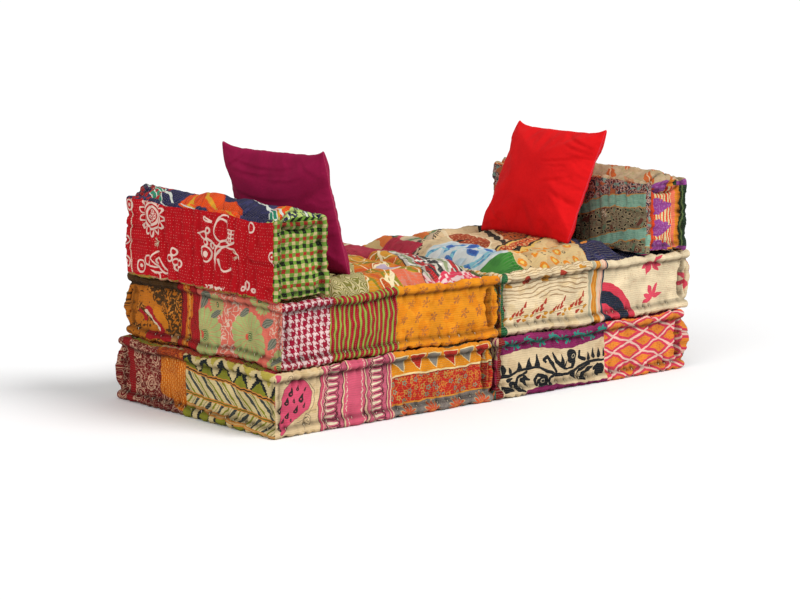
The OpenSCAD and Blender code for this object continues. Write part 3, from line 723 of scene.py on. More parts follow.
def pink_borders():
    """Two looped borders beside a pink ribbon, in pink, cream and black."""
    cloth = Cloth("pink_borders", wobble=0.14)
    u, v = cloth.u, cloth.v
    ground = cloth.flecked("#d0647c", 2.0, 0.6, "#be546c")
    for left in (17.6, 33.6):
        x = u - left
        loop_y = v.wrapped(1.75)
        sway = v.sine(3.5) * 0.5
        almond = cloth.drop(x - sway, loop_y, (1.9, 0.0), 0.40, (4.6, 0.1), 0.26)
        edge = abs(x - 1.0 - abs(loop_y) * 0.7)
        far = abs(x - 5.8 + abs(loop_y) * 0.7)
        inside = (x > 0.2) & (x < 6.8)
        for limit, colour in ((-0.75, "#8c3848"), (-0.44, "#4a2028"), (-0.34, "#e06c86"), (-0.06, "#4a2028"),
                              (0.02, "#f0dcbc")):
            ground = cloth.paint(ground, (inside & (almond > limit), colour))
        ground = cloth.paint(ground, ((edge < 0.12) | (far < 0.12), "#4a2a2c"),
                             (abs(edge - 0.3) < 0.08, "#e0b8a0"))
    ribbon = (u > 25.2) & (u < 32.4)
    dash = (abs(u - 26.0 - v.beat(1.6) * 0.4) < 0.16) | (abs(u - 31.6 + v.beat(1.6) * 0.4) < 0.16)
    ground = cloth.paint(ground, (ribbon, "#d65a74"), (ribbon & dash & (cloth.noise(0.5) > 0.45), "#ecd0b8"))
    for place, width, colour in ((16.0, 0.9, "#e2c79a"), (16.55, 0.2, "#4a3a34"), (17.1, 0.8, "#cc5068"),
                                 (17.7, 0.22, "#e9d2b0"), (24.6, 0.24, "#3a2a2c"), (25.0, 0.4, "#e0ca9c"),
                                 (32.5, 0.24, "#3a2a2c"), (32.95, 0.45, "#d8c29a"), (33.4, 0.18, "#6a5a50"),
                                 (40.6, 0.22, "#3a2a2c"), (41.0, 0.3, "#e0ca9c"), (41.6, 0.8, "#c44e66"),
                                 (42.2, 0.35, "#e4d0a4")):
        ground = cloth.mix(abs(u - place + v.sine(3.4) * 0.12) < width / 2, ground, colour)
    return cloth.sew(ground, show=0.08)


def orange_frieze():
    """Orange with red and grey leaves, over a red band of dotted flowers and a grey one of lotus buds."""
    cloth = Cloth("orange_frieze", wobble=0.15)
    u, v = cloth.u, cloth.v
    rise_right = (u - 42) * 0.02
    x = u.wrapped(6.1, 45.2)
    y = v - rise_right - 12.3
    leaf = (y * 0.66 - abs(x - 1.5 + y * 0.55) + (y.beat(0.5) * 0.5)) & (4.2 - y)
    top = cloth.paint("#e08a14", (cloth.noise(1.2) > 0.62, "#e89a2c"), (leaf > -0.28, "#ead39a"),
                      (leaf > 0, cloth.mix(u.odd(6.1, 45.2), "#8c8478", "#b8281c")))
    x, y, number = cloth.scattered(2.1, loose=0.75)
    flower = cloth.petals(x, y, 5, 0.3, 0.8, 0.8)
    tint = cloth.choose(number, "#8a9474", "#cc7a2c", "#748a70", "#b88c44")
    red = cloth.paint("#bc2618", (cloth.scrolls(1.6, 0.03), "#d07a34"), (cloth.noise(1.1) > 0.64, "#a01c14"),
                      (flower, tint), (cloth.reach(x, y) < 0.25, "#bc2618"))
    x, y = u.wrapped(9.2, 47.8), v - 0.2
    lotus = cloth.petals(x, y, 12, 0.5, 3.0, 0.6)
    grey = cloth.paint("#857c74", (cloth.noise(1.5) > 0.55, "#786e68"),
                       (cloth.petals(x, y, 12, 0.4, 3.3, 0.45), "#c8a878"), (lotus, "#c8502a"),
                       (cloth.reach(x, y) < 0.9, "#d8783a"))
    first, second = v - rise_right - 11.2, v - rise_right - 3.4
    ground = cloth.paint(grey, (second > 0, red), (first > 0, top), (abs(second) < 0.22, "#d89030"),
                         (abs(first) < 0.26, "#ead39a"), (abs(first + 0.4) < 0.14, "#8c1c14"))
    return cloth.sew(ground, show=0.16)


def quilted(name, colours, pitch, seed):
    """A panel out of sight in the photograph, pieced from worn strips in the sofa's own colours."""
    cloth = Cloth(name, wobble=0.3)
    u, v = cloth.u, cloth.v
    column = (u + seed).count(pitch * 1.6)
    row = (v + cloth.chance(column, seed) * pitch).count(pitch)
    number = cloth.chance(column * 3.1 + row * 7.7, seed + 1)
    base = cloth.choose(number, *colours)
    other = cloth.choose(cloth.chance(column * 5.3 + row * 2.9, seed + 2), *colours[::-1])
    kind = cloth.chance(column * 1.7 + row * 4.1, seed + 3)
    x, y = cloth.scattered(2.6, loose=0.4)[:2]
    flowers = cloth.petals(x, y, 5, 0.25, 1.0)
    bars = u.beat(1.6) < 0.28
    motif = kind.maths("GREATER_THAN", 0.5)
    mask = flowers * motif + bars * (1 - motif)
    seam = abs((u + seed).wrapped(pitch * 1.6)) > pitch * 0.8 - 0.12
    return cloth.sew(cloth.paint(base, (mask, other), (seam, "#3a2a20")), show=0.3)


def underside_weave():
    """The plain red-brown cotton under every mattress."""
    cloth = Cloth("underside_weave", wobble=0.0)
    ground = cloth.flecked("#80503a", 5.0, 0.55, "#754732")
    return cloth.sew(ground, show=0.0, weave=2.0)


def thread_tree():
    """Lays one bowed piece of thread on every point, along the point's run and standing out of the cloth."""
    tree = bpy.data.node_groups.new("threads", "GeometryNodeTree")
    tree.interface.new_socket("Points", in_out="INPUT", socket_type="NodeSocketGeometry")
    for socket, kind in (("Length", "Float"), ("Thickness", "Float"), ("Bow", "Float"), ("Uneven", "Float"),
                         ("Seed", "Int"), ("Cotton", "Material")):
        tree.interface.new_socket(socket, in_out="INPUT", socket_type=f"NodeSocket{kind}")
    tree.interface.new_socket("Threads", in_out="OUTPUT", socket_type="NodeSocketGeometry")
    given = tree.nodes.new("NodeGroupInput").outputs

    def node(kind, settings, sockets):
        """Adds a node, sets it up, and returns its first output."""
        made = tree.nodes.new(kind)
        for setting, value in settings.items():
            setattr(made, setting, value)
        for key, value in sockets.items():
            if isinstance(value, bpy.types.NodeSocket):
                tree.links.new(value, made.inputs[key])
            else:
                made.inputs[key].default_value = value
        return made.outputs[0]

    def times(value, factor):
        """A value times a factor."""
        return node("ShaderNodeMath", {"operation": "MULTIPLY"}, {0: value, 1: factor})

    dip = times(given["Bow"], -0.6)
    ends = [node("ShaderNodeCombineXYZ", {}, {0: times(given["Length"], side), 2: dip})
            for side in (-0.5, 0.5)]
    top = node("ShaderNodeCombineXYZ", {}, {2: given["Bow"]})
    curve = node("GeometryNodeCurveQuadraticBezier", {},
                 {"Resolution": 4, "Start": ends[0], "Middle": top, "End": ends[1]})
    ring = node("GeometryNodeCurvePrimitiveCircle", {},
                {"Resolution": 5, "Radius": times(given["Thickness"], 0.5)})
    thread = node("GeometryNodeCurveToMesh", {}, {"Curve": curve, "Profile Curve": ring, "Fill Caps": True})
    out, run = [node("GeometryNodeInputNamedAttribute", {"data_type": "FLOAT_VECTOR"}, {"Name": name})
                for name in ("out", "run")]
    stand = node("FunctionNodeAlignRotationToVector", {"axis": "Z"}, {"Vector": out})
    turn = node("FunctionNodeAlignRotationToVector", {"axis": "X", "pivot_axis": "Z"},
                {"Rotation": stand, "Vector": run})
    least = node("ShaderNodeMath", {"operation": "SUBTRACT"}, {0: 1.0, 1: given["Uneven"]})
    most = node("ShaderNodeMath", {"operation": "ADD"}, {0: 1.0, 1: given["Uneven"]})
    size = tree.nodes.new("FunctionNodeRandomValue")
    size.data_type = "FLOAT"
    for socket, value in zip([s for s in size.inputs if s.enabled and s.name in ("Min", "Max", "Seed")],
                             (least, most, given["Seed"])):
        tree.links.new(value, socket)
    size = [s for s in size.outputs if s.enabled][0]
    laid = node("GeometryNodeInstanceOnPoints", {}, {"Points": given["Points"], "Instance": thread,
                                                     "Rotation": turn, "Scale": size})
    real = node("GeometryNodeRealizeInstances", {}, {"Geometry": laid})
    dyed = node("GeometryNodeSetMaterial", {}, {"Geometry": real, "Material": given["Cotton"]})
    tree.links.new(dyed, tree.nodes.new("NodeGroupOutput").inputs["Threads"])
    return tree


def lay_threads(name, places, runs, outs, material, seed, **sizes):
    """A mesh of threads, one on each place, each along its run and standing out of the cloth."""
    mesh = bpy.data.meshes.new(name)
    mesh.from_pydata([tuple(place) for place in places], [], [])
    for word, vectors in (("run", runs), ("out", outs)):
        flat = np.array(vectors, np.float32).reshape(-1)
        mesh.attributes.new(word, "FLOAT_VECTOR", "POINT").data.foreach_set("vector", flat)
    threads = bpy.data.objects.new(name, mesh)
    bpy.context.scene.collection.objects.link(threads)
    laying = threads.modifiers.new("threads", "NODES")
    laying.node_group = thread_laying
    inputs = [item for item in thread_laying.interface.items_tree if item.in_out == "INPUT"]
    sockets = {item.name: item.identifier for item in inputs}
    for word, value in (*sizes.items(), ("Seed", seed), ("Cotton", material)):
        laying[sockets[word.capitalize()]] = value
    ready = threads.evaluated_get(bpy.context.evaluated_depsgraph_get())
    plain_mesh = bpy.data.meshes.new_from_object(ready)
    threads.modifiers.remove(laying)
    threads.data = plain_mesh
    return threads


def hand_stitches(cushion, material):
    """One slanted stitch in each deeper pleat of the rolls."""
    first, second = np.array(cushion.sewn).T
    runs = cushion.points[second] - cushion.points[first]
    outs = cushion.world(cushion.normal[first]) - cushion.low
    places = cushion.points[first] + 0.45 * runs + 0.0006 * outs
    sideways = np.cross(outs, runs)
    stitches = lay_threads(f"{cushion.name}_stitches", places, runs + 0.35 * sideways, outs, material,
                           cushion.seed, length=0.011, thickness=0.0013, bow=0.0016, uneven=0.25)
    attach(stitches, cushion.name)


def twine_tufts(cushion, material, strands=14):
    """A short brush of twine ends on each through-tie. Those on the floor are pressed flat and left out."""
    draw = np.random.default_rng(cushion.seed + 40)
    places, runs, outs = [], [], []
    for vertex in cushion.tufted:
        if cushion.points[vertex][2] < 0.02:
            continue
        out = (cushion.world(cushion.normal[vertex][None]) - cushion.low)[0]
        out = out / np.linalg.norm(out)
        for _ in range(strands):
            lean = draw.normal(size=3)
            lean = lean - out * (lean @ out)
            lean /= np.linalg.norm(lean)
            run = out * draw.uniform(0.25, 1.0) + lean
            run /= np.linalg.norm(run)
            places.append(cushion.points[vertex] + run * 0.0065 + lean * 0.001)
            runs.append(run)
            outs.append(np.cross(run, np.cross(out, run)) if abs(run @ out) < 0.99 else lean)
    tufts = lay_threads(f"{cushion.name}_tufts", places, runs, outs, material, cushion.seed + 1,
                        length=0.013, thickness=0.0014, bow=0.0012, uneven=0.3)
    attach(tufts, cushion.name)
    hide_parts(f"{cushion.name}_ties")


def stuff_mattress(name, seed, bellies, corners, eased=None):
    """A mattress whose left, right, front and back panels belly out, with stitched upright corners."""
    mattress = StitchedCushion(name, "top", turn=[0, 1, 2], step=0.005, seed=seed)
    for (axis, side), height in zip(((0, 0), (0, 1), (1, 0), (1, 1)), bellies):
        mattress.puff(axis, side, height)
    if eased:
        mattress.ease(**eased)
    mattress.upright(corners)
    return mattress


def tie_base(mattress):
    """Ties a lower mattress, whose faces stay flat, in two rows of two."""
    for side in (0, 1):
        mattress.crown(side, height=0.0, reach=0.11)
        mattress.tie(side, counts=(2, 2), dip=0.011, valley=0.004 * side)
    mattress.ripple(height=0.0022, wavelength=0.09)


def finish_mattress(mattress, patches, wraps=(0.026, 0.026), **places):
    """Sets a mattress in its place, covers it with its patches, and lays its stitches and tufts."""
    mattress.settle(**places)
    cover = mattress.cloth(patches, wraps)
    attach(cover, mattress.name)
    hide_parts(*[f"{mattress.name}_{part}" for part in ("top", "border", "underside", "filling")])
    hand_stitches(mattress, twine)
    twine_tufts(mattress, twine)


def twisted_cotton(name, colour):
    """Cotton twine, paler where a strand comes up."""
    cloth = Cloth(name, wobble=0.0)
    twist = cloth.noise(0.08, 1.0, cloth.node("TexCoord", {}, (), "Object"))
    return cloth.sew(cloth.mix(twist, colour, "#fff4dc"), show=0.0)


thread_laying = thread_tree()
twine = twisted_cotton("twine", "#cdbb94")
base_low, sag = Wander(seed=71, wavelength=0.26), 0.007
hidden = underside_weave()
warm_strips = quilted("warm_strips", ("#b5442a", "#d0862c", "#7d1c1c", "#cbb27c", "#8f8a2a", "#c23a4a"),
                      pitch=9.0, seed=2.0)
base_left = stuff_mattress("base_left", seed=100, bellies=(0.021, 0.002, 0.020, 0.016),
                           corners=((0.1, 0.6), (1.0, 0.7)))
tie_base(base_left)
finish_mattress(base_left, [
    ("left", 31.2, maroon_batik()), ("left", None, green_flame()),
    ("front", 16, pink_paisley()), ("front", 42.4, pink_borders()), ("front", None, orange_frieze()),
    ("bottom", None, hidden), (None, None, warm_strips)],
    over=(base_low, sag), wraps=(0.026, 0.014), spread=((0.006, 0), (0, 0.014)))


# Lower right mattress
# The twin of the lower left one, of the same cotton and filling and sewn the same way. Its front is plum
# and cream beside a pink lattice.
def plain_patch(name, colour, fleck):
    """One colour, flecked with a darker one."""
    cloth = Cloth(name)
    return cloth.sew(cloth.flecked(colour, 1.2, 0.58, fleck), show=0.35)


def plum_and_scroll():
    """Plum with a teal vine, over a cream band with a black scrolling branch."""
    cloth = Cloth("plum_and_scroll", wobble=0.16)
    u, v = cloth.u, cloth.v
    upper = v - 12.9 + u.sine(31, 6) * -0.7
    sway = u.sine(10.4) * 0.8 + 15.7
    stem = abs(v - sway) < 0.24
    x, flip = u.wrapped(2.6), u.odd(2.6) * 2 - 1
    y = (v - sway) * flip
    curl = cloth.ring(x - 0.1, y - 0.85, 0.62, 0.3) & (x + y * 0.4 < 0.75)
    leaves = ((cloth.drop(x, y, (-1.0, 0.5), 0.36, (-0.5, 1.5), 0.2) > 0)
              | (cloth.drop(x, y, (0.9, -0.2), 0.24, (0.5, -1.1), 0.36) > 0))
    plum = cloth.paint("#8a1e5a", (cloth.noise(1.4) > 0.6, "#7c1850"), (stem | curl | leaves, "#1f9482"))
    branches = (
        ((3.2, 6.6, 0.5), (6.4, 6.3, 0.4), (10.2, 7.6, 0.3), (16.8, 7.9, 0.3), (21.0, 6.3, 0.35),
         (25.0, 4.4, 0.45), (30.0, 4.2, 0.35), (34.8, 6.2, 0.35), (40.0, 7.2, 0.3), (46.0, 6.6, 0.25)),
        ((10.2, 8.0, 0.75), (10.0, 9.7, 0.1)), ((13.6, 8.4, 0.8), (14.0, 10.6, 0.1)),
        ((17.0, 8.5, 0.9), (17.0, 11.4, 0.1)),
        ((19.6, 9.6, 0.35), (21.4, 10.2, 0.4), (22.4, 8.8, 0.45), (25.2, 5.4, 0.35)),
        ((19.6, 9.6, 0.35), (20.6, 8.8, 0.25)), ((23.6, 10.9, 0.2), (24.6, 8.6, 0.45), (27.6, 6.8, 0.4)),
        ((27.2, 8.0, 0.7), (27.0, 10.6, 0.1)), ((27.6, 6.8, 0.4), (29.4, 6.0, 0.3)),
        ((31.2, 9.8, 1.7), (31.2, 9.3, 1.5)), ((32.0, 8.0, 0.7), (31.4, 6.2, 0.3), (29.4, 5.9, 0.25)),
        ((34.6, 10.8, 0.25), (34.4, 9.0, 0.45), (36.6, 8.0, 0.5)), ((40.2, 8.6, 0.6), (40.2, 10.9, 0.1)),
        ((42.8, 8.4, 0.65), (42.6, 10.8, 0.1)), ((45.2, 8.4, 0.5), (45.0, 10.2, 0.1)),
        ((38.2, 8.0, 0.5), (37.8, 9.8, 0.1)), ((19.9, 3.2, 1.75), (18.6, 2.6, 1.3)),
        ((16.2, 4.0, 0.45), (17.2, 5.2, 0.4), (19.2, 4.9, 0.5)), ((16.2, 4.0, 0.45), (16.6, 2.6, 0.35)),
        ((9.0, 3.0, 0.35), (9.8, 5.2, 0.35), (13.0, 6.9, 0.3)), ((11.6, 4.4, 0.7), (13.0, 2.6, 0.15)),
        ((12.4, 5.2, 0.6), (14.4, 4.4, 0.15)), ((7.2, 3.6, 0.75), (9.4, 3.9, 0.2)),
        ((6.0, 4.9, 0.6), (7.8, 5.4, 0.2)), ((4.4, 2.4, 0.7), (7.6, 2.2, 0.2)),
        ((9.2, 2.4, 0.6), (11.6, 1.2, 0.15)), ((22.0, 2.4, 0.3), (22.6, 3.9, 0.35), (25.4, 4.6, 0.3)),
        ((33.4, 3.4, 0.3), (34.4, 5.0, 0.35), (38.8, 6.2, 0.3)), ((36.4, 3.6, 0.85), (38.4, 4.2, 0.2)),
        ((36.0, 2.6, 0.6), (34.2, 2.2, 0.15)), ((38.4, 4.6, 0.6), (40.2, 5.2, 0.2)),
        ((43.6, 4.2, 1.35), (42.4, 3.6, 1.0)), ((40.9, 4.6, 0.35), (42.4, 5.6, 0.4)),
        ((31.8, 4.2, 0.7), (32.6, 2.6, 0.15)), ((28.4, 7.0, 0.5), (29.2, 8.6, 0.1)),
        ((4.2, 8.0, 0.75), (3.6, 9.2, 0.5)), ((6.8, 7.6, 0.45), (6.2, 8.4, 0.1)))
    black = cloth.joined(
        cloth.drop(u, v, (x0, y0), wide * 1.2 + 0.08, (x1, y1), narrow * 1.2 + 0.04)
        for branch in branches for (x0, y0, wide), (x1, y1, narrow) in zip(branch, branch[1:]))
    hole = cloth.ring(u - 31.9, v - 9.6, 0.55, 0.22) | cloth.ring(u - 19.4, v - 3.4, 0.6, 0.25)
    cream = cloth.paint("#dec69e", (cloth.noise(5.0) > 0.56, "#d2b890"), (black > 0, "#141a20"),
                        (hole, "#c8b898"))
    ground = cloth.paint(cream, (upper > 0, plum), ((v < 1.5 + u.sine(40, 10) * 0.5) & (u > 12), "#7c1850"))
    return cloth.sew(ground, show=0.1)


def pink_lattice():
    """Orange diamonds in a pale net on pink."""
    cloth = Cloth("pink_lattice", wobble=0.35, soft=0.012, lap=6.0)
    u, v = cloth.u, cloth.v
    one = (u * (1 / 12.4) + v * (1 / 5.4)).wrapped(1.0)
    two = (u * (1 / 12.4) - v * (1 / 5.4)).wrapped(1.0)
    reach = abs(one) | abs(two)
    speck = cloth.noise(0.7) > 0.6
    ground = cloth.paint("#d83a54", (reach > 0.44, "#efc4b4"),
                         (reach < 0.29, cloth.mix(speck, "#e88a30", "#dc6e2c")))
    return cloth.sew(ground, show=0.12)


cool_strips = quilted("cool_strips", ("#8a1e5a", "#d8b890", "#2f6a5c", "#c0345a", "#d98030", "#23233f"),
                      pitch=9.0, seed=5.0)
base_right = stuff_mattress("base_right", seed=200, bellies=(0.002, 0.018, 0.020, 0.016),
                            corners=((0.4, 0.5), (1.0, 0.6)))
tie_base(base_right)
finish_mattress(base_right, [
    ("front", 2.8, plain_patch("dark_red", "#8a0f14", "#6a0a0e")),
    ("front", 45.5, plum_and_scroll()), ("front", None, pink_lattice()),
    ("bottom", None, hidden), (None, None, cool_strips)],
    over=(base_low, sag))


# Upper left mattress
# The left seat, of the same cotton, filling and seams as the mattress under it. Its top swells between
# the ties, and the bolster presses its outer end flat.
def brushed_orange():
    """Orange and brown laid on like brush strokes round a white leaf with red edges."""
    cloth = Cloth("brushed_orange", wobble=0.5, lap=5.0)
    u, v = cloth.u, cloth.v
    broad, fine = cloth.noise(4.5, 3.0), cloth.noise(0.8, 2.0)
    ground = cloth.paint("#c8741e", (broad > 0.57, "#d88a38"), (fine + broad > 1.08, "#5a3414"))
    dark = (u > 17.5) & (fine > 0.48) | (v > 15.0) | (cloth.reach(u - 14.5, v - 14) < 3.2) & (fine > 0.4)
    leaf = cloth.drop(u, v, (8.6, 8.0), 0.7, (15, 3.4), 0.3)
    halo = cloth.drop(u, v, (9.4, 8.6), 1.3, (15.4, 3.9), 1.0)
    belly = cloth.drop(u, v, (12.5, 9.5), 1.2, (17.5, 6.5), 2.0)
    side = cloth.drop(u, v, (6.0, 8.0), 0.5, (7.6, 5.6), 0.9)
    stripe = abs(v - 2.2) < 0.9
    ground = cloth.paint(ground, (dark, "#4f3416"), (belly > 0, "#d8801c"), (halo > 0, "#b81c28"),
                         (leaf > 0, "#ecd8b8"), (side > 0, "#b81c28"),
                         (stripe & (u > 10) & (u < 20.5), "#b01a24"),
                         (stripe & (u > 20.5) & (u < 24), "#c88a50"))
    return cloth.sew(ground, show=0.06)


def red_bands():
    """Upright bands of dark red, red and orange."""
    cloth = Cloth("red_bands", wobble=0.2)
    u = cloth.u
    ground = cloth.paint("#5c0e10", (u > 25.0, "#a0141a"), (u > 27.0, "#d8701c"),
                         (abs(u - 28.0) < 0.28, "#e09a3c"), (u > 29.4, "#ac161e"),
                         (cloth.noise(0.8) > 0.62, "#8a1a14"))
    return cloth.sew(ground, show=0.12, upright=True)


def salmon_daisies():
    """Salmon with large pale green daisies, thin scrolls and grey leaves."""
    cloth = Cloth("salmon_daisies", wobble=0.2)
    u, v = cloth.u, cloth.v
    scroll = cloth.scrolls(1.7, 0.05) & (abs(u - 45.5) < 5.5) | cloth.scrolls(1.2, 0.04) & (u > 64)
    ground = cloth.paint("#ee7a66", (cloth.noise(2.4) > 0.6, "#e86c5c"), (scroll, "#f2cdb4"))
    for x, y, size in ((54.6, 6.6, 7.3), (35.4, 5.2, 7.6), (69.0, 0.5, 5.5), (60.5, 17.4, 4.0),
                       (40.5, 14.0, 3.2)):
        reach, turn = cloth.round(u - x, v - y)
        fan = reach < abs((turn * 10).maths("SINE")) * 0.7 + size - 0.7
        rib = abs((turn * (10 / math.pi)).wrapped(1.0)) < 0.3 / (reach + 0.5)
        ground = cloth.paint(ground, (fan, "#b8c47a"), (fan & rib & (reach > size * 0.22), "#e08a6a"))
        ground = cloth.paint(ground, ((reach < size * 0.2) & (reach.beat(0.5) < 0.13), "#4a5a3c"),
                             ((u < x - 0.6) & (reach < size * 0.26) & (abs(v - y) < 0.9), "#e8604c"))
    for x, y, angle in ((50.2, 12.0, 25), (61.0, 10.6, 30), (62.6, 5.0, 40), (33.6, 12.0, 60),
                        (38.2, 10.0, 35), (65.4, 1.2, 35), (34.8, 16.0, 5)):
        x, y = cloth.turned(u - x, v - y, angle)
        inside = cloth.leaf(x, y, 4.6, 2.1)
        ground = cloth.paint(ground, (inside > 0, "#8f8f7c"),
                             ((inside > 0) & (y.beat(0.6) < 0.09), "#5a6050"))
    return cloth.sew(ground, show=0.08)


def houndstooth():
    """Crimson and pale pink in broken checks."""
    cloth = Cloth("houndstooth", wobble=0.12)
    x, y = cloth.u.count(0.28), cloth.v.count(0.28)

    def part(value, period, share):
        """One over the first share of each period of threads, nought over the rest."""
        return (value / period).maths("FRACT") < share

    warp, weft, twill = part(x, 8, 0.6), part(y, 8, 0.6), part(x + y, 4, 0.5)
    pick = twill * warp + (1 - twill) * weft
    return cloth.sew(cloth.mix(pick, "#ecd0cc", "#9e0a30"), show=0.06, weave=2.0)


def red_and_lime():
    """Upright stripes of red and lime between thin brown lines."""
    cloth = Cloth("red_and_lime", wobble=0.14, lap=5.0)
    u, v = cloth.u, cloth.v
    stripe = abs((u - v.sine(36) * 0.7).wrapped(1.68, 19.3))
    ground = cloth.paint("#b21226", (stripe < 0.42, "#5c4420"), (stripe < 0.28, "#9cae44"),
                         (abs(stripe - 0.82) < 0.05, "#8c0c1c"))
    return cloth.sew(ground, show=0.2, upright=True)


def marigold():
    """Marigold with small broken clusters of brown."""
    cloth = Cloth("marigold", wobble=0.2)
    u, v = cloth.u, cloth.v
    shift = v.count(4.0, 0.6)
    x = (u + shift * 2.6).wrapped(5.8, 43.5)
    y = v.wrapped(4.0, 0.6)
    bud = cloth.petals(x, y - x * 0.3, 5, 0.15, 1.5, 0.8)
    worn = cloth.noise(0.55, 1.5)
    ground = cloth.paint("#ec941a", (cloth.noise(5.0) > 0.56, "#e68812"), (bud & (worn > 0.38), "#d47a28"),
                         (bud & (worn > 0.51), "#b06c36"))
    return cloth.sew(ground, show=0.22, thread="#ffc870")


def seat_left_quilt():
    """The left seat's top: worn patches that run into each other, most of them at a slant."""
    cloth = Cloth("seat_left_quilt", wobble=0.35, lap=5.0)
    u, v = cloth.u, cloth.v
    swirl = ((cloth.noise(4.2, 0.8) - 0.5) * 9).beat(0.62) < 0.16
    swirls = cloth.mix(swirl, "#cfc08c", "#7e7a34")
    a, b = cloth.turned(u - 50, v - 14, 55)
    leaf = cloth.leaf(a + 6, b, 13, 7.5)
    drift = cloth.noise(7.0, 1.5)
    orange = cloth.paint("#cc741e", (drift > 0.52, "#847e1c"), (drift > 0.6, "#d89428"),
                         (drift < 0.4, "#c45420"), (cloth.scrolls(5.0, 0.02), "#ecdcae"),
                         (leaf > -0.5, "#ecdcb0"), (leaf > 0, "#b8a4b4"))
    coral = cloth.flecked("#dc6c4c", 3.0, 0.55, "#d07c64")
    lavender = cloth.mix(cloth.scrolls(2.5, 0.06), "#b0a0b8", "#d8c4b8")
    x, y = u.count(0.9), v.count(0.9)
    check = cloth.mix(cloth.chance(x, y) > 0.45, "#e6c8c4", "#d43a56")
    slant = (u - v * 0.42 - 55).wrapped(7.6, 3.0)
    mark = cloth.chance(u.count(0.55), (v - u * 0.3).count(1.5))
    stripes = cloth.paint("#c9c4b4", (abs(slant) < 1.3, "#b8262c"), (abs(slant - 2.8) < 0.55, "#2a2a2c"),
                          (mark > 0.62, "#3a3a3c"), (abs(slant + 2.6) < 0.5, "#8f9a70"),
                          (mark > 0.88, "#efe8dc"))
    crimson = cloth.flecked("#ac2640", 1.0, 0.6, "#8e1c32")
    broken = cloth.choose(cloth.chance((u + v).count(2.2), (v - u * 0.4).count(5.0)), "#d8583c", "#dcc8a8",
                          "#a81c24", "#c0a07c", "#3c6a46")
    back = cloth.choose(cloth.chance(u.count(1.3), v.count(1.0)), "#6a6258", "#8a7c6c", "#2a2422", "#a88c6c")
    navy = cloth.mix(cloth.noise(1.2) > 0.56, "#2c2c4e", "#5c1422")
    ground = cloth.paint(swirls, (u - v * 0.5 > 32, orange), ((v < 9 - (u - 46) * 0.25) & (u > 46), coral),
                         ((v < 3.6) & (u > 46), lavender), ((v < 7.4) & (u > 59), check),
                         (u - v * 0.42 > 53.5, stripes), ((u - v * 0.42 > 53.5) & (v < 6.4), check),
                         ((v > 37) & (u > 44), broken), ((v > 36.5) & (u > 56) & (v < 51), crimson),
                         ((v > 51) & (u > 44), broken), ((v > 58) & (u > 60), back),
                         ((v > 60) & (u < 62), navy))
    seams = (abs(u - v * 0.42 - 53.5) < 0.12) & (v < 38)
    ground = cloth.paint(ground, (seams, "#5a3a28"))
    return cloth.sew(ground, show=0.3, rows=0.75)


def tie_seat(mattress, pressed):
    """Ties a seat in two rows of two. Its top swells, apart from the end that a bolster presses flat."""
    mattress.crown(0, height=0.0, reach=0.11)
    mattress.crown(1, height=0.034, reach=0.075, pressed=pressed)
    mattress.tie(0, counts=(2, 2), dip=0.011, valley=0.0)
    mattress.tie(1, counts=(2, 2), dip=0.030, valley=0.025)
    mattress.ripple(height=0.0036, wavelength=0.12)


earth_strips = quilted("earth_strips", ("#c97b3a", "#7c3a22", "#a8934e", "#8c1a1e", "#e0c8a0", "#5a6a34"),
                       pitch=8.0, seed=9.0)
seat_low = Wander(seed=72, wavelength=0.26)
seat_left = stuff_mattress("seat_left", seed=300, bellies=(0.018, 0.002, 0.022, 0.016),
                           corners=((0.4, 0.5), (1.1, 0.6)))
tie_seat(seat_left, pressed=(0, 0.170))
finish_mattress(seat_left, [
    ("left", 24.3, brushed_orange()), ("left", 33, red_bands()), ("left", None, salmon_daisies()),
    ("front", 18.0, houndstooth()), ("front", 41.5, red_and_lime()), ("front", None, marigold()),
    ("top", None, seat_left_quilt()), ("bottom", None, hidden), (None, None, earth_strips)],
    under=(base_low, sag), over=(seat_low, sag))


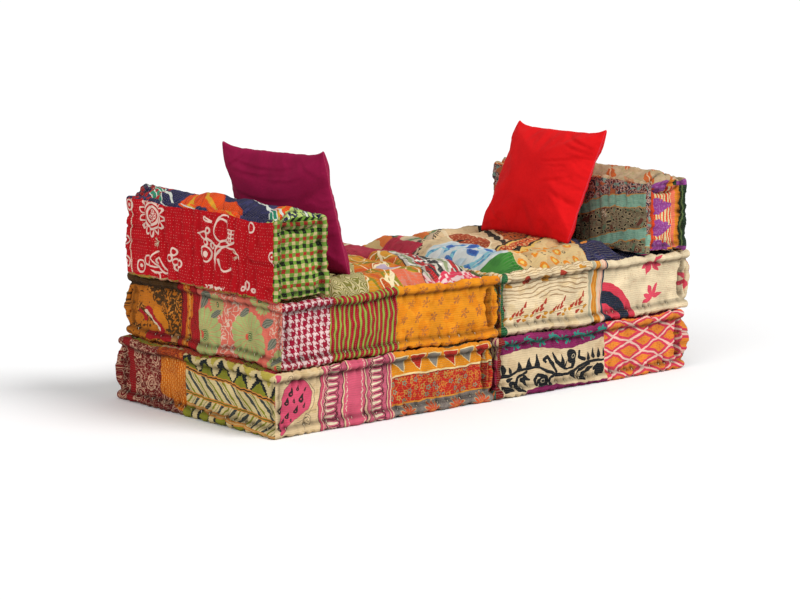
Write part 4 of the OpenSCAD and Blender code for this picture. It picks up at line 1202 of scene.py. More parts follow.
# Upper right mattress
# The right seat, made like the left one and pressed flat at its right end. Its patches are cream, grey and
# ochre cotton, with a green one at the corner.
def wavy_and_sprigs():
    """Cream with fine wavy lines, leaves in red and ochre, and a row of sprigs."""
    cloth = Cloth("wavy_and_sprigs", wobble=0.12)
    u, v = cloth.u, cloth.v
    wave = v - cloth.noise(9.0, 1.0) * 2.4 - u.sine(26, 18) * 0.7
    lines = (abs(wave.wrapped(1.12)) < 0.13 + cloth.noise(0.4) * 0.06) & (v > 9.8)
    ground = cloth.paint("#ecd6ae", (cloth.noise(4.0) > 0.58, "#e4ca9c"), (lines, "#b0906a"))
    red, ochre = [], []
    for x, y, w, h, kind in ((11.5, 15.6, 1.0, 1.4, 0), (25.5, 16.6, 1.7, 1.0, 0), (4.3, 14.6, 1.3, 0.9, 1),
                             (19.0, 15.3, 1.7, 1.1, 1), (33.2, 17.6, 1.7, 0.9, 1)):
        blob = cloth.drop(u, v, (x - w * 0.4, y), h, (x + w * 0.7, y - 0.4), h * 0.5) > 0
        (ochre if kind else red).append(blob)
    x = u.wrapped(8.2, 8.5)
    y = v - u * 0.03
    for ax, ay, bx, by, kind in ((-0.9, 5.4, -0.1, 6.4, 0), (0.9, 6.4, 1.5, 7.2, 0), (0.5, 5.4, 1.8, 5.9, 0),
                                 (-2.4, 5.2, -1.5, 6.0, 0), (2.2, 7.6, 2.5, 8.6, 0), (-0.6, 3.4, 0.5, 3.8, 0),
                                 (2.4, 4.3, 3.6, 4.7, 1), (1.6, 3.3, 2.6, 3.2, 1), (-3.4, 4.4, -2.5, 4.8, 1)):
        leaf = cloth.drop(x, y, (ax, ay), 0.5, (bx, by), 0.22) > 0
        (ochre if kind else red).append(leaf)
    twig = (abs(y - 4.6 - x * 0.12) < 0.07) & (abs(x) < 3.4)
    ground = cloth.paint(ground, (twig, "#6a5a40"), (cloth.joined(ochre), "#cf8c2c"),
                         (cloth.joined(red), "#b03a28"))
    return cloth.sew(ground, show=0.12)


def grey_and_ochre_border():
    """Upright bands of grey, ochre, cream and rose beside a navy edge."""
    cloth = Cloth("grey_and_ochre_border", wobble=0.16)
    u = cloth.u
    ground = cloth.paint("#ecd6ae", (u > 37.6, "#b5ae92"), (u > 38.5, "#d9d2b4"), (u > 38.9, "#d98a2a"),
                         (abs(u - 40.1) < 0.25, "#e6a040"), (u > 41.0, "#d8cba4"), (u > 41.4, "#efc6a8"),
                         (abs(u - 42.6) < 0.12, "#d07a6a"), (u > 43.0, "#3a4450"))
    return cloth.sew(ground, show=0.08, upright=True)


def cream_sprays():
    """Cream with a large quarter round in crimson and navy, and sprays of pink leaves."""
    cloth = Cloth("cream_sprays", wobble=0.2)
    u, v = cloth.u, cloth.v
    reach = cloth.reach(u - 42.5, v + 2.5)
    fleck = (cloth.noise(0.45, 1.0) > 0.68) & (cloth.noise(2.0) > 0.5)
    ground = cloth.paint("#ecd8b2", (fleck, "#d8b890"), (reach < 14.0, "#d83c50"), (reach < 11.6, "#1d2638"),
                         ((reach < 11.6) & (cloth.noise(0.6) > 0.6), "#2c3850"), (reach < 7.9, "#d83c50"),
                         (reach < 5.0, "#1d2638"))
    sprays = ((64.6, 5.2, (10, 60, 115, 165, 200)), (64.0, 15.6, (-40, -15, 35, 200, 240)),
              (80.0, 9.0, (150, 200, 250)))
    pink = cloth.joined(cloth.leaf_at(x, y, angle, 4.4, 1.5) > 0 for x, y, angles in sprays
                        for angle in angles)
    ground = cloth.paint(ground, (pink, "#e04a60"))
    return cloth.sew(ground, show=0.12)


def seat_right_quilt():
    """The right seat's top: green, blue and cream along its front, then slanted bands and a cream wedge."""
    cloth = Cloth("seat_right_quilt", wobble=0.35, lap=5.0)
    u, v = cloth.u, cloth.v
    green = cloth.flecked("#3a8230", 3.0, 0.55, "#2c6e28")
    drift = cloth.noise(4.2, 1.0)
    blue = cloth.paint("#ccd0cc", (drift > 0.54, "#b0c2c8"))
    for x, y, radius, width in ((9, 22, 6.0, 1.3), (10, 23, 8.8, 1.0), (4, 33, 4.4, 1.2)):
        arc = cloth.ring(u - x, v - y, radius, width) & (cloth.noise(3.5, 0.5) > 0.42)
        blue = cloth.paint(blue, (arc, "#7cb8c4"), (arc & (cloth.noise(1.5) > 0.55), "#4c8ab0"))
    for x, y, angle, length, width in ((7, 18, 60, 8, 3.0), (11, 26, 20, 7, 3.0), (3, 24, 60, 6, 2.6),
                                       (13, 17, 70, 6, 2.0), (8, 31, 35, 7, 2.6), (1, 17, 20, 4, 2.0),
                                       (15, 30, 120, 5, 2.0)):
        inside = cloth.leaf_at(x, y, angle, length, width)
        blue = cloth.paint(blue, (inside > 0, "#4272b0"), (inside > 0.6, "#2c5098"))
    x, y, number = cloth.scattered(4.3, loose=0.6)
    reach = cloth.reach(x, y)
    round_patch = (reach < 1.3) & (number > 0.15)
    cream = cloth.paint("#d2b47e", (cloth.noise(3.0) > 0.58, "#c4a06e"), (round_patch, "#d8801e"),
                        ((reach < 0.55) & (number > 0.15), "#e0c060"),
                        (cloth.ring(x - 1.9, y + 1.2, 0.45, 0.24), "#3a3024"))
    slant = v - 14.0 - (u - 14) * 0.345
    x, y, number = cloth.scattered(1.5, loose=0.4)
    spot = cloth.reach(x, y)
    bands = cloth.paint("#b8401a", (cloth.noise(1.6) > 0.55, "#cc5a26"), (spot < 0.42, "#e8b878"),
                        (spot < 0.16, "#5a1c10"), (slant < 1.9, "#1c1612"), (slant < 1.0, "#dcb45c"),
                        (abs(slant - 7.6) < 0.45, "#dcb45c"), (abs(slant - 8.5) < 0.45, "#1c1612"),
                        (abs(slant - 4.6) < 0.3, "#7a2412"))
    stripe = u - 29.2 - (v - 29.8) * 0.6
    zigzag = u - 13.5 - (v - 47.4) * 1.44
    rust = cloth.leaf_at(21.3, 28.0, 73, 24.5, 8.6, 0.7)
    blot = cloth.drop(u, v, (18.6, 46.5), 0.8, (24.6, 39.0), 0.45)
    ticks = (abs(zigzag) < 1.7) & ((u + v * 0.7).beat(1.9) < 0.42)
    wedge = cloth.paint("#d3b98e", (cloth.noise(2.6) > 0.57, "#c4a67e"), (rust > -0.6, "#e2cfa8"),
                        (rust > 0, "#9a3a1c"), ((rust > 0) & (spot < 0.3), "#c88a5c"), (blot > 0, "#16120e"),
                        (stripe > 2.4, "#b0521e"), ((stripe > 2.4) & (spot < 0.36), "#241a14"),
                        (abs(stripe) < 1.2, "#16120e"), (ticks | (abs(zigzag) < 0.35), "#1a1614"))
    rows = cloth.chance((v - u * 0.5).count(1.5), 2.0)
    stripes = cloth.choose(rows, "#c83c50", "#cdb690", "#5c7a50", "#b8a488", "#d0604c", "#3a3430")
    crimson = cloth.flecked("#a8203a", 1.0, 0.6, "#8c1a2e")
    edge = cloth.choose(cloth.chance((u - v * 0.3).count(3.2), 4.0), "#1c1c22", "#d06a2c", "#2a3c66",
                        "#c8a870", "#141416")
    flame = (cloth.leaf_at(44, 11, 40, 9, 2.6) > 0) | (cloth.leaf_at(47, 12, 78, 8, 2.2) > 0)
    navy = cloth.paint("#242440", (cloth.noise(2.0) > 0.56, "#323258"), (flame, "#dd8a34"),
                       ((v < 3.4) & (cloth.noise(1.8) > 0.46), "#d8a860"))
    ground = cloth.paint(wedge, (slant < 9.0, bands), (slant < 0, cream), (u > 38 + v * 0.3, navy),
                         ((zigzag < 0) & (v > 36), stripes), ((u < 9) & (v > 43), crimson),
                         ((zigzag < -2.5) & (v > 56), edge),
                         ((u < 14 + (v - 14) * 0.42) & (u + v < 54) & (v > 10) & (v < 38), blue),
                         ((u < 13.0) & (v < 14.5 - u * 0.35), green))
    return cloth.sew(ground, show=0.3, rows=0.75)


pale_strips = quilted("pale_strips", ("#ecd6ae", "#cf8c2c", "#b8404a", "#5c7c8c", "#d8c4a0", "#3a7a44"),
                      pitch=8.0, seed=13.0)
seat_right = stuff_mattress("seat_right", seed=400, bellies=(0.002, 0.017, 0.022, 0.016),
                            corners=((0.5, 0.5), (1.1, 0.6)),
                            eased={"axis": 1, "side": 0, "level": 1, "start": 0.03, "end": 0.37,
                                   "height": 0.011})
tie_seat(seat_right, pressed=(1, 0.220))
finish_mattress(seat_right, [
    ("front", 2.4, plain_patch("dark_green", "#1c6a3c", "#14502c")), ("front", 37, wavy_and_sprigs()),
    ("front", 43.4, grey_and_ochre_border()), ("front", None, cream_sprays()),
    ("top", None, seat_right_quilt()), ("bottom", None, hidden), (None, None, pale_strips)],
    under=(base_low, sag), over=(seat_low, sag))


# Left bolster
# A square bolster along the seat's outer end, softer than the mattresses. Its two large faces are tied
# through twice, and one strip runs over its top, ends and bottom.
def dotted_red():
    """Red with rows of fine pale dots and white flowers drawn in wax."""
    cloth = Cloth("dotted_red", wobble=0.1)
    u, v = cloth.u, cloth.v
    row = v.count(0.8)
    x = u + cloth.chance(row, 7.0) * 0.9
    dots = (v.beat(0.8) < 0.08) & (x.beat(0.9) < 0.1) & (cloth.chance(x.count(0.9), row) > 0.25)
    x, y = u - 12.6, v - 17.6
    white = [cloth.ring(x, y, 2.45, 0.7), (cloth.reach(x, y) < 1.75) & (cloth.noise(0.42, 0.5) > 0.5),
             cloth.petals(x, y, 13, 3.3, 5.9, 0.5) & (1 - cloth.petals(x, y, 13, 3.9, 5.3, 2.2))]
    for x, y, size, holes in ((36.4, 10.0, 2.15, 0.9), (8.2, 3.2, 1.6, 0.5), (36.8, 13.3, 0.75, 0),
                              (39.2, 12.5, 0.8, 0), (37.6, 16.4, 0.7, 0), (22.6, 8.9, 1.0, 0),
                              (21.3, 7.0, 0.9, 0), (23.4, 6.0, 0.9, 0), (25.3, 5.8, 1.0, 0),
                              (24.0, 4.4, 0.9, 0), (54.4, 3.4, 1.2, 0), (56, 19.8, 1.4, 0),
                              (52.6, 2.4, 0.5, 0), (57.0, 2.4, 0.45, 0), (16.6, 1.2, 0.8, 0),
                              (65.0, 12.6, 1.2, 0.3), (65.4, 10.9, 0.7, 0), (2.2, 19.8, 1.4, 0.5),
                              (1.2, 4.0, 1.4, 0.4), (1.0, 10.0, 1.2, 0)):
        white.append(cloth.ring(u - x, v - y, size, 0.5))
        if holes:
            white.append(cloth.reach(u - x, v - y) < holes)
    for start, wide, end, narrow in (((33.4, 15.2), 0.15, (36.2, 15.0), 1.2),
                                     ((11.4, 5.0), 1.5, (15.4, 3.6), 0.3),
                                     ((16.0, 5.3), 1.1, (19.2, 2.6), 0.6),
                                     ((36.0, 19.4), 0.6, (38.5, 18.8), 0.2)):
        shape = cloth.drop(u, v, start, wide, end, narrow)
        white.append((shape > -0.12) & (shape < 0.36))
    for cx, cy, radius, low, high, left, right in (
            (45.0, 16.8, 4.4, 16.2, 30, 38, 46.5), (43.4, 17.0, 3.0, 9, 30, 38, 46),
            (43.0, 21.5, 9.0, 9, 14.6, 36, 49.5), (44.2, 9.0, 3.0, 3, 9.2, 38, 46.5),
            (45.2, 9.6, 4.7, 9.2, 30, 39.4, 47.5), (46, 6.6, 6.2, 6, 12.9, 40, 51),
            (18.6, 1.2, 7.6, 4.0, 8.2, 10, 20), (15.5, 7.6, 5.6, -1, 2.6, 9, 19)):
        arc = cloth.ring(u - cx, v - cy, radius, 0.55)
        white.append(arc & (v > low) & (v < high) & (u > left) & (u < right))
    grid = (u.beat(0.9) < 0.2) | (v.beat(1.1) < 0.2)
    tangle = (v < 1.8) & (cloth.noise(0.9, 0.5) > 0.5) & (v > -0.4)
    white += [(abs(u - 47.2) < 1.3) & (abs(v - 16.0) < 1.6) & grid,
              (abs(u - 40.0 - (v - 1) * 0.3) < 4.2) & tangle,
              (abs(v + 0.6 - (u - 13).sine(60) * 0.4) < 0.25) & (u > 6) & (u < 19)]
    thread = (abs(u - 3.0 - abs(v - 10) * 0.03) < 0.2) & (v.beat(0.5) < 0.19) & (v > 0.5)
    ground = cloth.paint("#c40a1a", (cloth.noise(6.0) > 0.55, "#b80816"), (dots, "#e08078"),
                         (cloth.joined(white), "#f2d2c2"), (thread, "#f0dcc0"))
    return cloth.sew(ground, show=0.0, quilted=0.2)


def gingham():
    """Green and cream checks whose crossings are black in one row and red in the next."""
    cloth = Cloth("gingham", wobble=0.14, soft=0.04)
    u, v = cloth.u, cloth.v
    upright = u.beat(2.42, 4.1) < 0.62
    level = v.beat(2.0, 4.25) < 0.52
    crossing = cloth.mix(v.odd(2.0, 4.25), "#a82c20", "#1c2412")
    ground = cloth.paint("#ccb480", ((upright | level), "#6e9634"), (upright & level, crossing))
    return cloth.sew(ground, show=0.1, weave=2.0)


def petals_on_navy():
    """Navy with very large orange petals, ochre hearts and green leaves edged in white."""
    cloth = Cloth("petals_on_navy", wobble=0.4, lap=6.0)
    u, v = cloth.u, cloth.v
    ground = cloth.flecked("#242448", 2.5, 0.56, "#30305c")
    for x, y, angle, length, width in ((-2, 15, 68, 20, 8.5), (1, 26, 60, 22, 8), (-1, 34, 52, 17, 7),
                                       (3, 40, 35, 12, 5.5), (2, 3, 30, 14, 5)):
        a, b = cloth.turned(u - x, v - y, angle)
        inside = cloth.leaf(a, b, length, width)
        vein = abs(b + (a - 6).sine(9) * 0.3) < 0.55
        ground = cloth.paint(ground, (inside > 0, "#e04a0e"), ((inside > 0.4) & vein, "#d89c24"),
                             ((inside > 0) & (inside < 0.3), "#c03408"))
    for x, y, angle, length, width in ((2, 52, 60, 12, 2.6), (13, 30, 75, 13, 4.5), (7, 56, 70, 8, 2),
                                       (14, 16, 80, 6, 2.6), (3, 4, 60, 6, 2)):
        a, b = cloth.turned(u - x, v - y, angle)
        inside = cloth.leaf(a, b, length, width)
        ground = cloth.paint(ground, (inside > -0.3, "#d8dcd0"), (inside > 0, "#1f8a68"),
                             ((inside > 0) & (abs(b) < 0.12), "#e8e8dc"))
    spot = cloth.drop(u, v, (14.2, 11.5), 1.3, (15.0, 16.0), 0.9)
    hem = (v < 4.5) & (cloth.noise(1.2) > 0.5)
    ground = cloth.paint(ground, (spot > 0, "#e6c8ae"), (hem, "#b8cc70"),
                         ((v > 55) & (cloth.noise(2.0) > 0.53), "#a81820"))
    return cloth.sew(ground, show=0.2)


def dotted_maroon():
    """Dark red with rows of white stitches."""
    cloth = Cloth("dotted_maroon", wobble=0.12)
    dots = (cloth.u.beat(1.1) < 0.13) & (cloth.v.beat(0.9) < 0.2)
    ground = cloth.paint("#9c1420", (cloth.noise(2.0) > 0.58, "#86101a"), (dots, "#e0b0a0"))
    return cloth.sew(ground, show=0.1)


def finish_bolster(bolster, patches, spread, wraps=(0.005, 0.020)):
    """Shapes a bolster, sets it in its place, covers it, and lays its stitches and tufts."""
    for axis, side, height in ((0, 0, 0.016), (0, 1, 0.012), (1, 1, 0.022)):
        bolster.puff(axis, side, height, reach=0.08)
    bolster.upright(((0.3, 0.9), (0.0, 0.6)))
    for side in (0, 1):
        bolster.crown(side, height=0.010, reach=0.07)
        bolster.tie(side, counts=(2, 1), dip=0.016, valley=0.003, spread=0.03)
    bolster.ripple(height=0.0028, wavelength=0.1)
    bolster.settle(under=(seat_low, sag), over=(bolster_low, 0.005), spread=spread)
    cover = bolster.cloth(patches, wraps)
    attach(cover, bolster.name)
    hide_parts(*[f"{bolster.name}_{part}"
                         for part in ("inner_face", "border", "outer_face", "filling")])
    hand_stitches(bolster, twine)
    twine_tufts(bolster, twine)


bolster_low = Wander(seed=73, wavelength=0.24)
bolster_axes, bolster_step = [1, 2, 0], 0.004
finish_bolster(StitchedCushion("bolster_left", "inner_face", bolster_axes, bolster_step, seed=500), [
    ("left", None, dotted_red()), ("front", None, gingham()), ("top", None, petals_on_navy()),
    ("right", None, dotted_maroon()), (None, None, warm_strips)], spread=((0.004, 0), (0, 0.014)))


# Right bolster
# The twin of the left one, of the same filling and sewn the same way, in mint, tan and purple cotton.
# It stands along the right end of its seat.
def mint_and_dots():
    """Grey-brown with black dots between mint bands, and a dark flowered part above."""
    cloth = Cloth("mint_and_dots", wobble=0.3)
    u, v = cloth.u, cloth.v
    band = v - 11.6 - (u - 38) * 0.2 - u.sine(26, 44) * 0.5
    low = v - 3.0 - (u - 50) * 0.26
    x, y, number = cloth.scattered(1.35, loose=0.9)
    reach = cloth.reach(x, y * 1.2)
    dots = (reach < 0.38) & (number > 0.2)
    halo = (reach < 0.56) & (number > 0.2)
    ground = cloth.paint("#8f8468", (cloth.noise(1.0, 3.0) > 0.54, "#7a6a54"),
                         (cloth.noise(2.4) > 0.6, "#6f8a6c"), (cloth.noise(5.0) > 0.62, "#6a3c30"),
                         (halo, "#b4a67e"), (dots, "#1c1714"))
    squiggle = cloth.scrolls(0.9, 0.07)
    dark = cloth.paint("#3a3440", (cloth.noise(0.9) > 0.55, "#6a2420"), (squiggle, "#c09a8c"),
                       (cloth.noise(1.6, 1.0) > 0.62, "#7a9a8c"), (cloth.noise(3.0) < 0.38, "#b0603c"))
    ground = cloth.paint(ground, (band > 1.9, dark), ((abs(band) < 2.0) | (abs(low) < 1.8), "#c48c4c"),
                         ((abs(band) < 1.7) | (abs(low) < 1.5),
                          cloth.mix(cloth.noise(1.2) > 0.55, "#8fbca4", "#7fae98")))
    return cloth.sew(ground, show=0.08)


def tan_and_rust():
    """Worn tan with rust leaves and faint olive marks."""
    cloth = Cloth("tan_and_rust", wobble=0.4)
    x, y, number = cloth.scattered(7.6, loose=0.8)
    a, b = cloth.turned(x, y, 52)
    rust = (cloth.leaf(a + 4.4, b, 9.4, 2.7) > 0) & (number > 0.15)
    ground = cloth.paint("#bfa482", (cloth.noise(3.5) > 0.56, "#b49672"),
                         (cloth.scrolls(2.0, 0.03), "#b0a074"), (rust, "#c4602a"),
                         (rust & (abs(b) < 0.16), "#ddb890"))
    return cloth.sew(ground, show=0.12)


def purple_flames():
    """Purple flames on red and cream bars, beside salmon, ochre and dark green strips."""
    cloth = Cloth("purple_flames", wobble=0.22)
    u, v = cloth.u, cloth.v
    bars = cloth.paint("#e2381c", (u.wrapped(1.45, 5.6) ** 2.0 < 0.16, "#dfce98"))
    y = v.wrapped(6.4, 8.0)
    flame = cloth.drop(u, y, (6.6, 0.0), 2.5, (12.4, 0.2), 0.35) + cloth.noise(0.8, 1.0) * 1.6 - 0.8
    square = (abs(y) < 2.35) & (u < 7.6) & (u > 4.4)
    purple = cloth.paint("#94408c", (cloth.noise(0.7, 1.0) > 0.58, "#a864a4"))
    ground = cloth.paint(bars, (u > 12.7, "#ee7858"), (((flame > 0) | square), purple), (u < 4.5, "#e4481c"))
    ground = cloth.paint(ground, (u > 14.4, "#df8a28"), (abs(u - 15.3) < 0.3, "#d87a1c"),
                         (u > 16.2, "#2a4426"), (abs(u - 16.7) < 0.12, "#7f9a5c"), (u > 17.1, "#1f3322"))
    patches = cloth.choose(cloth.chance((v + 1).count(4.6), 5.0), "#22382a", "#e0501e", "#1f3022", "#9a4a8c",
                           "#d8581e")
    top = (v > 20.0) | (v < 1.8)
    upper = cloth.paint("#94408c", (cloth.noise(0.8, 1.0) > 0.6, "#a864a4"),
                        ((u > 10.6) & (u < 13), "#df8a28"), ((u > 13) & (u < 14.6), "#2a4426"))
    ground = cloth.paint(ground, (u > 17.6, patches), (top, upper))
    return cloth.sew(ground, show=0.08)


mint = mint_and_dots()
finish_bolster(StitchedCushion("bolster_right", "inner_face", bolster_axes, bolster_step, seed=600), [
    ("left", None, mint), ("front", 2.6, mint), ("front", None, purple_flames()),
    ("top", None, tan_and_rust()), (None, None, cool_strips)], spread=((0, 0), (0, 0.010)))


# Throw pillows
# Two square covers of plain cotton, knife-edged, each over a fibre insert. Each is blown up from two flat
# panels sewn along their edges, then set in the place where it leans on its bolster. A zip closes its foot.
def sew_pillow(name, side, drawn, cells=56, blunt=0.045):
    """Two flat panels that share their sewn edge, drawn in a little between its blunt corners."""
    steps = np.linspace(-1, 1, cells + 1)
    x, y = np.meshgrid(steps, steps, indexing="ij")
    rim = np.ones(x.shape, bool)
    rim[1:-1, 1:-1] = False
    swell = 0.067 * ((1 - np.abs(x) ** 3) * (1 - np.abs(y) ** 3)) ** 0.6
    depth = drawn * 2 / side
    foot = np.where(y < 0, depth, 1.9 * depth) * (1 - np.abs(x) ** 8)
    places = np.stack([x * (1 - 0.4 * depth * (1 - np.abs(y) ** 6)), y * (1 - foot)], -1) * side / 2
    places *= 1 - blunt * (np.abs(x * y) ** 22)[..., None]
    front = np.arange(x.size).reshape(x.shape)
    back = front.copy()
    back[~rim] = x.size + np.arange((~rim).sum())
    points = np.concatenate([np.dstack([places, swell]).reshape(-1, 3), np.dstack([places, -swell])[~rim]])
    faces = [np.stack([front[:-1, :-1], front[1:, :-1], front[1:, 1:], front[:-1, 1:]], -1),
             np.stack([back[:-1, 1:], back[1:, 1:], back[1:, :-1], back[:-1, :-1]], -1)]
    mesh = bpy.data.meshes.new(name)
    mesh.from_pydata(points.tolist(), [], np.concatenate(faces).reshape(-1, 4).tolist())
    mesh.uv_layers.new(name="cloth")
    loops = points[[v for p in mesh.polygons for v in p.vertices]]
    mesh.uv_layers["cloth"].data.foreach_set("uv", (loops[:, :2] + side / 2).reshape(-1).astype(np.float32))
    pillow = bpy.data.objects.new(name, mesh)
    bpy.context.scene.collection.objects.link(pillow)
    pillow.vertex_groups.new(name="rim").add(front[rim].tolist(), 1.0, "REPLACE")
    return pillow


def blow_up(pillow, frames=12, pressure=2.6, growth=0.03):
    """Fills the cover: its cloth is a little larger than its seam allows, so it creases along it."""
    cloth = pillow.modifiers.new("blow", "CLOTH")
    cloth.settings.use_pressure = True
    cloth.settings.uniform_pressure_force = pressure
    cloth.settings.effector_weights.gravity = 0
    cloth.settings.vertex_group_mass = "rim"
    cloth.settings.shrink_min = -growth
    cloth.settings.quality = 6
    cloth.settings.tension_stiffness = 40
    cloth.settings.compression_stiffness = 30
    cloth.settings.bending_stiffness = 0.4
    cloth.point_cache.frame_start, cloth.point_cache.frame_end = 1, frames
    for moment in range(1, frames + 1):
        bpy.context.scene.frame_set(moment)
    evaluated = pillow.evaluated_get(bpy.context.evaluated_depsgraph_get())
    blown = np.empty(len(pillow.data.vertices) * 3)
    evaluated.data.vertices.foreach_get("co", blown)
    pillow.modifiers.remove(cloth)
    bpy.context.scene.frame_set(1)
    return blown.reshape(-1, 3)


def crease(points, folds):
    """Presses soft folds into the left panel: each has a middle, an angle, a length, a width and a depth."""
    for x, y, angle, length, width, depth in folds:
        turn = math.radians(angle)
        along = (points[:, 0] - x) * math.cos(turn) + (points[:, 1] - y) * math.sin(turn)
        across = (points[:, 1] - y) * math.cos(turn) - (points[:, 0] - x) * math.sin(turn)
        across = across - 0.25 * along**2 / length
        fold = np.exp(-((across / width) ** 2)) - 0.55 * np.exp(-((across / width - 1.7) ** 2))
        window = np.clip(1 - (2 * along / length) ** 2, 0, 1)
        points[:, 2] += np.where(points[:, 2] < 0, 1.5 * depth * fold * window, 0)


red_folds = [(-0.085, 0.05, -14, 0.14, 0.004, 0.0030), (-0.10, 0.035, -10, 0.12, 0.003, 0.0022),
             (-0.10, -0.01, -22, 0.12, 0.005, 0.0028), (-0.12, 0.12, 18, 0.13, 0.005, 0.0035),
             (-0.13, 0.095, 8, 0.11, 0.004, 0.0030), (-0.14, 0.075, -4, 0.09, 0.003, 0.0022),
             (-0.13, -0.06, 20, 0.12, 0.006, 0.0025), (0.13, -0.13, 40, 0.11, 0.006, 0.0030)]
magenta_folds = [(0.03, 0.125, 3, 0.26, 0.004, 0.0035), (0.05, 0.108, 2, 0.22, 0.005, 0.0030),
                 (-0.05, 0.098, -4, 0.18, 0.004, 0.0025), (0.02, 0.045, 2, 0.28, 0.006, 0.0025),
                 (0.12, 0.14, -32, 0.09, 0.005, 0.0035), (-0.13, 0.135, 38, 0.09, 0.005, 0.0035)]
folds = {"pillow_left": magenta_folds, "pillow_right": red_folds}


def plain_cotton(name, colour, shade):
    """Plain woven cotton with a line of topstitching just inside the seam."""
    cloth = Cloth(name, wobble=0.0)
    u, v = cloth.u, cloth.v
    edge = (u & (37.8 - u)) & (v & (37.8 - v))
    stitch = (abs(edge - 0.55) < 0.05) & ((u + v).beat(0.42) < 0.07)
    # Painted shade: the second colour is this cotton in shade, laid in large clouds, just inside the seam and
    # in the threads.
    ground = cloth.mix(cloth.noise(7.0, 2.0), colour, shade)
    threads = cloth.noise(0.09, 1.0)
    ground = cloth.paint(ground, (abs(edge - 0.22) < 0.06, shade), (stitch, "#e0607c"))
    ground = cloth.mix(threads * 0.35, ground, shade)
    return cloth.sew(ground, show=0.0, wear=0.06, weave=1.2, quilted=0.0)


def zip_finish(name, colour, metal=False):
    """Dyed tape with a ribbed coil, or plated zinc rubbed bright."""
    cloth = Cloth(name, wobble=0.0)
    place = cloth.node("TexCoord", {}, (), "Object")
    grain = cloth.noise(0.004 if metal else 0.0015, 2.0, place)
    tint = cloth.mix(grain, colour, "#8c8c90" if metal else "#3a0a18")
    cloth.tree.links.new(tint.socket, cloth.shader.inputs["Base Color"])
    bump = cloth.node("Bump", {}, {"Height": grain, "Strength": 0.3, "Distance": 0.0003}, "Normal")
    cloth.tree.links.new(bump.socket, cloth.shader.inputs["Normal"])
    if metal:
        rough = cloth.node("MapRange", {}, {0: grain, 3: 0.22, 4: 0.42})
        cloth.tree.links.new(rough.socket, cloth.shader.inputs["Roughness"])
        cloth.shader.inputs["Metallic"].default_value = 1.0
    else:
        cloth.shader.inputs["Roughness"].default_value = 0.8
    return cloth.material


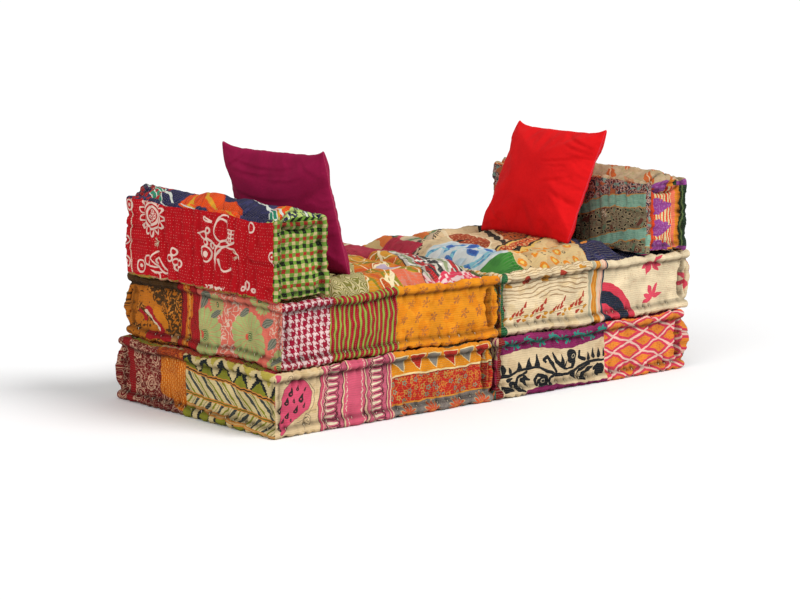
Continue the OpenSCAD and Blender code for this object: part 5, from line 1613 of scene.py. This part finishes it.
pillow_drawn, pillow_margin = 0.012, 0.0008
pillow_side, pillow_thick = 0.384, 0.136 - 2 * pillow_margin
sunk, fullness, zip_out = 0.012, 0.82, 0.0015
# Each pillow's cotton, and the same cotton in shade, which is painted on as shade and also dyes its zip tape.
for name, colours, lean, turn in (("pillow_left", ("#a01a4a", "#84123a"), -17.7, 8.4),
                                  ("pillow_right", ("#ee181a", "#d01016"), 25.4, 0)):
    panels = np.array([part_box(f"{name}_front"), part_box(f"{name}_back")])
    middle = (panels[:, 0].min(0) + panels[:, 1].max(0)) / 2
    pillow = sew_pillow(f"{name}_cover", pillow_side, pillow_drawn)
    blown = np.array([v.co for v in pillow.data.vertices])
    blown = blow_up(pillow)
    blown[:, 2] *= pillow_thick / (blown[:, 2].max() - blown[:, 2].min())
    blown[:, 2] -= (blown[:, 2].max() + blown[:, 2].min()) / 2
    blown[:, 2] = np.sign(blown[:, 2]) * pillow_thick / 2 * np.abs(blown[:, 2] * 2 / pillow_thick) ** fullness
    crease(blown, folds[name])
    place = Matrix.Rotation(math.radians(turn), 3, "Z") @ Matrix.Rotation(math.radians(lean), 3, "Y")
    blown = blown[:, [2, 0, 1]] @ np.array(place).T + middle - (0, 0, sunk)
    pillow.data.vertices.foreach_set("co", blown.reshape(-1))
    pillow.data.materials.append(plain_cotton(f"{name}_cotton", *colours))
    for polygon in pillow.data.polygons:
        polygon.use_smooth = True
    smooth = pillow.modifiers.new("smooth", "SUBSURF")
    smooth.levels = smooth.render_levels = 1
    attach(pillow, name)
    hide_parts(*[f"{name}_{part}" for part in ("front", "back", "insert")])
    sink = Matrix.Translation(Vector((0, 0, -sunk)) - place @ Vector((0, 0, zip_out)))
    slider = name.replace("pillow", "zip_slider")
    for part, body, slot, colour in (("zip", name, "zip_tape", colours[1]),
                                     ("zip_slider", slider, "zip_metal", "#c4c4c8")):
        sewn = bmesh.new()
        sewn.from_mesh(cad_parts[f"{name}_{part}"].data)
        bmesh.ops.remove_doubles(sewn, verts=sewn.verts, dist=1e-6)
        sewn.transform(sink)
        mesh = bpy.data.meshes.new(f"{name}_{slot}")
        sewn.to_mesh(mesh)
        mesh.materials.append(zip_finish(f"{name}_{slot}", colour, slot == "zip_metal"))
        zip_piece = bpy.data.objects.new(f"{name}_{slot}", mesh)
        bpy.context.scene.collection.objects.link(zip_piece)
        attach(zip_piece, body)
        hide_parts(f"{name}_{part}")


# Floor and light
# A pale floor that shows white and keeps the sofa's shadow, an even sky that shows white too, and two soft
# lamps from the front.
def white_where_seen(tree, shader, colour):
    """White to the camera, and a shade of grey to the light that falls on the sofa."""
    rays = tree.nodes.new("ShaderNodeLightPath")
    seen = tree.nodes.new("ShaderNodeMix")
    seen.data_type = "RGBA"
    seen.inputs[6].default_value = (colour, colour, colour, 1)
    seen.inputs[7].default_value = (1, 1, 1, 1)
    tree.links.new(rays.outputs["Is Camera Ray"], seen.inputs[0])
    tree.links.new(seen.outputs[2], shader.inputs[0])


floor_grey, sky_grey = 0.75, 0.46
bpy.ops.mesh.primitive_plane_add(size=60, location=(0, 0, cad_low.z - 0.0005))
floor = bpy.context.object
floor.name = "floor"
pale = bpy.data.materials.new("pale_floor")
pale.use_nodes = True
pale_shader = pale.node_tree.nodes["Principled BSDF"]
pale_shader.inputs["Roughness"].default_value = 1.0
pale_shader.inputs["Specular IOR Level"].default_value = 0.0
white_where_seen(pale.node_tree, pale_shader, floor_grey)
floor.data.materials.append(pale)
world = bpy.data.worlds.new("studio")
bpy.context.scene.world = world
world.use_nodes = True
white_where_seen(world.node_tree, world.node_tree.nodes["Background"], sky_grey)
for name, energy, angle, source in (("key", 1.95, 30, (0.35, -0.8, 0.9)),
                                    ("fill", 0.9, 45, (-0.9, -0.35, 0.6))):
    lamp = bpy.data.objects.new(name, bpy.data.lights.new(name, "SUN"))
    lamp.data.energy = energy
    lamp.data.angle = math.radians(angle)
    lamp.rotation_euler = (-Vector(source)).to_track_quat("-Z", "Y").to_euler()
    bpy.context.scene.collection.objects.link(lamp)
bpy.context.scene.view_settings.view_transform = "Standard"
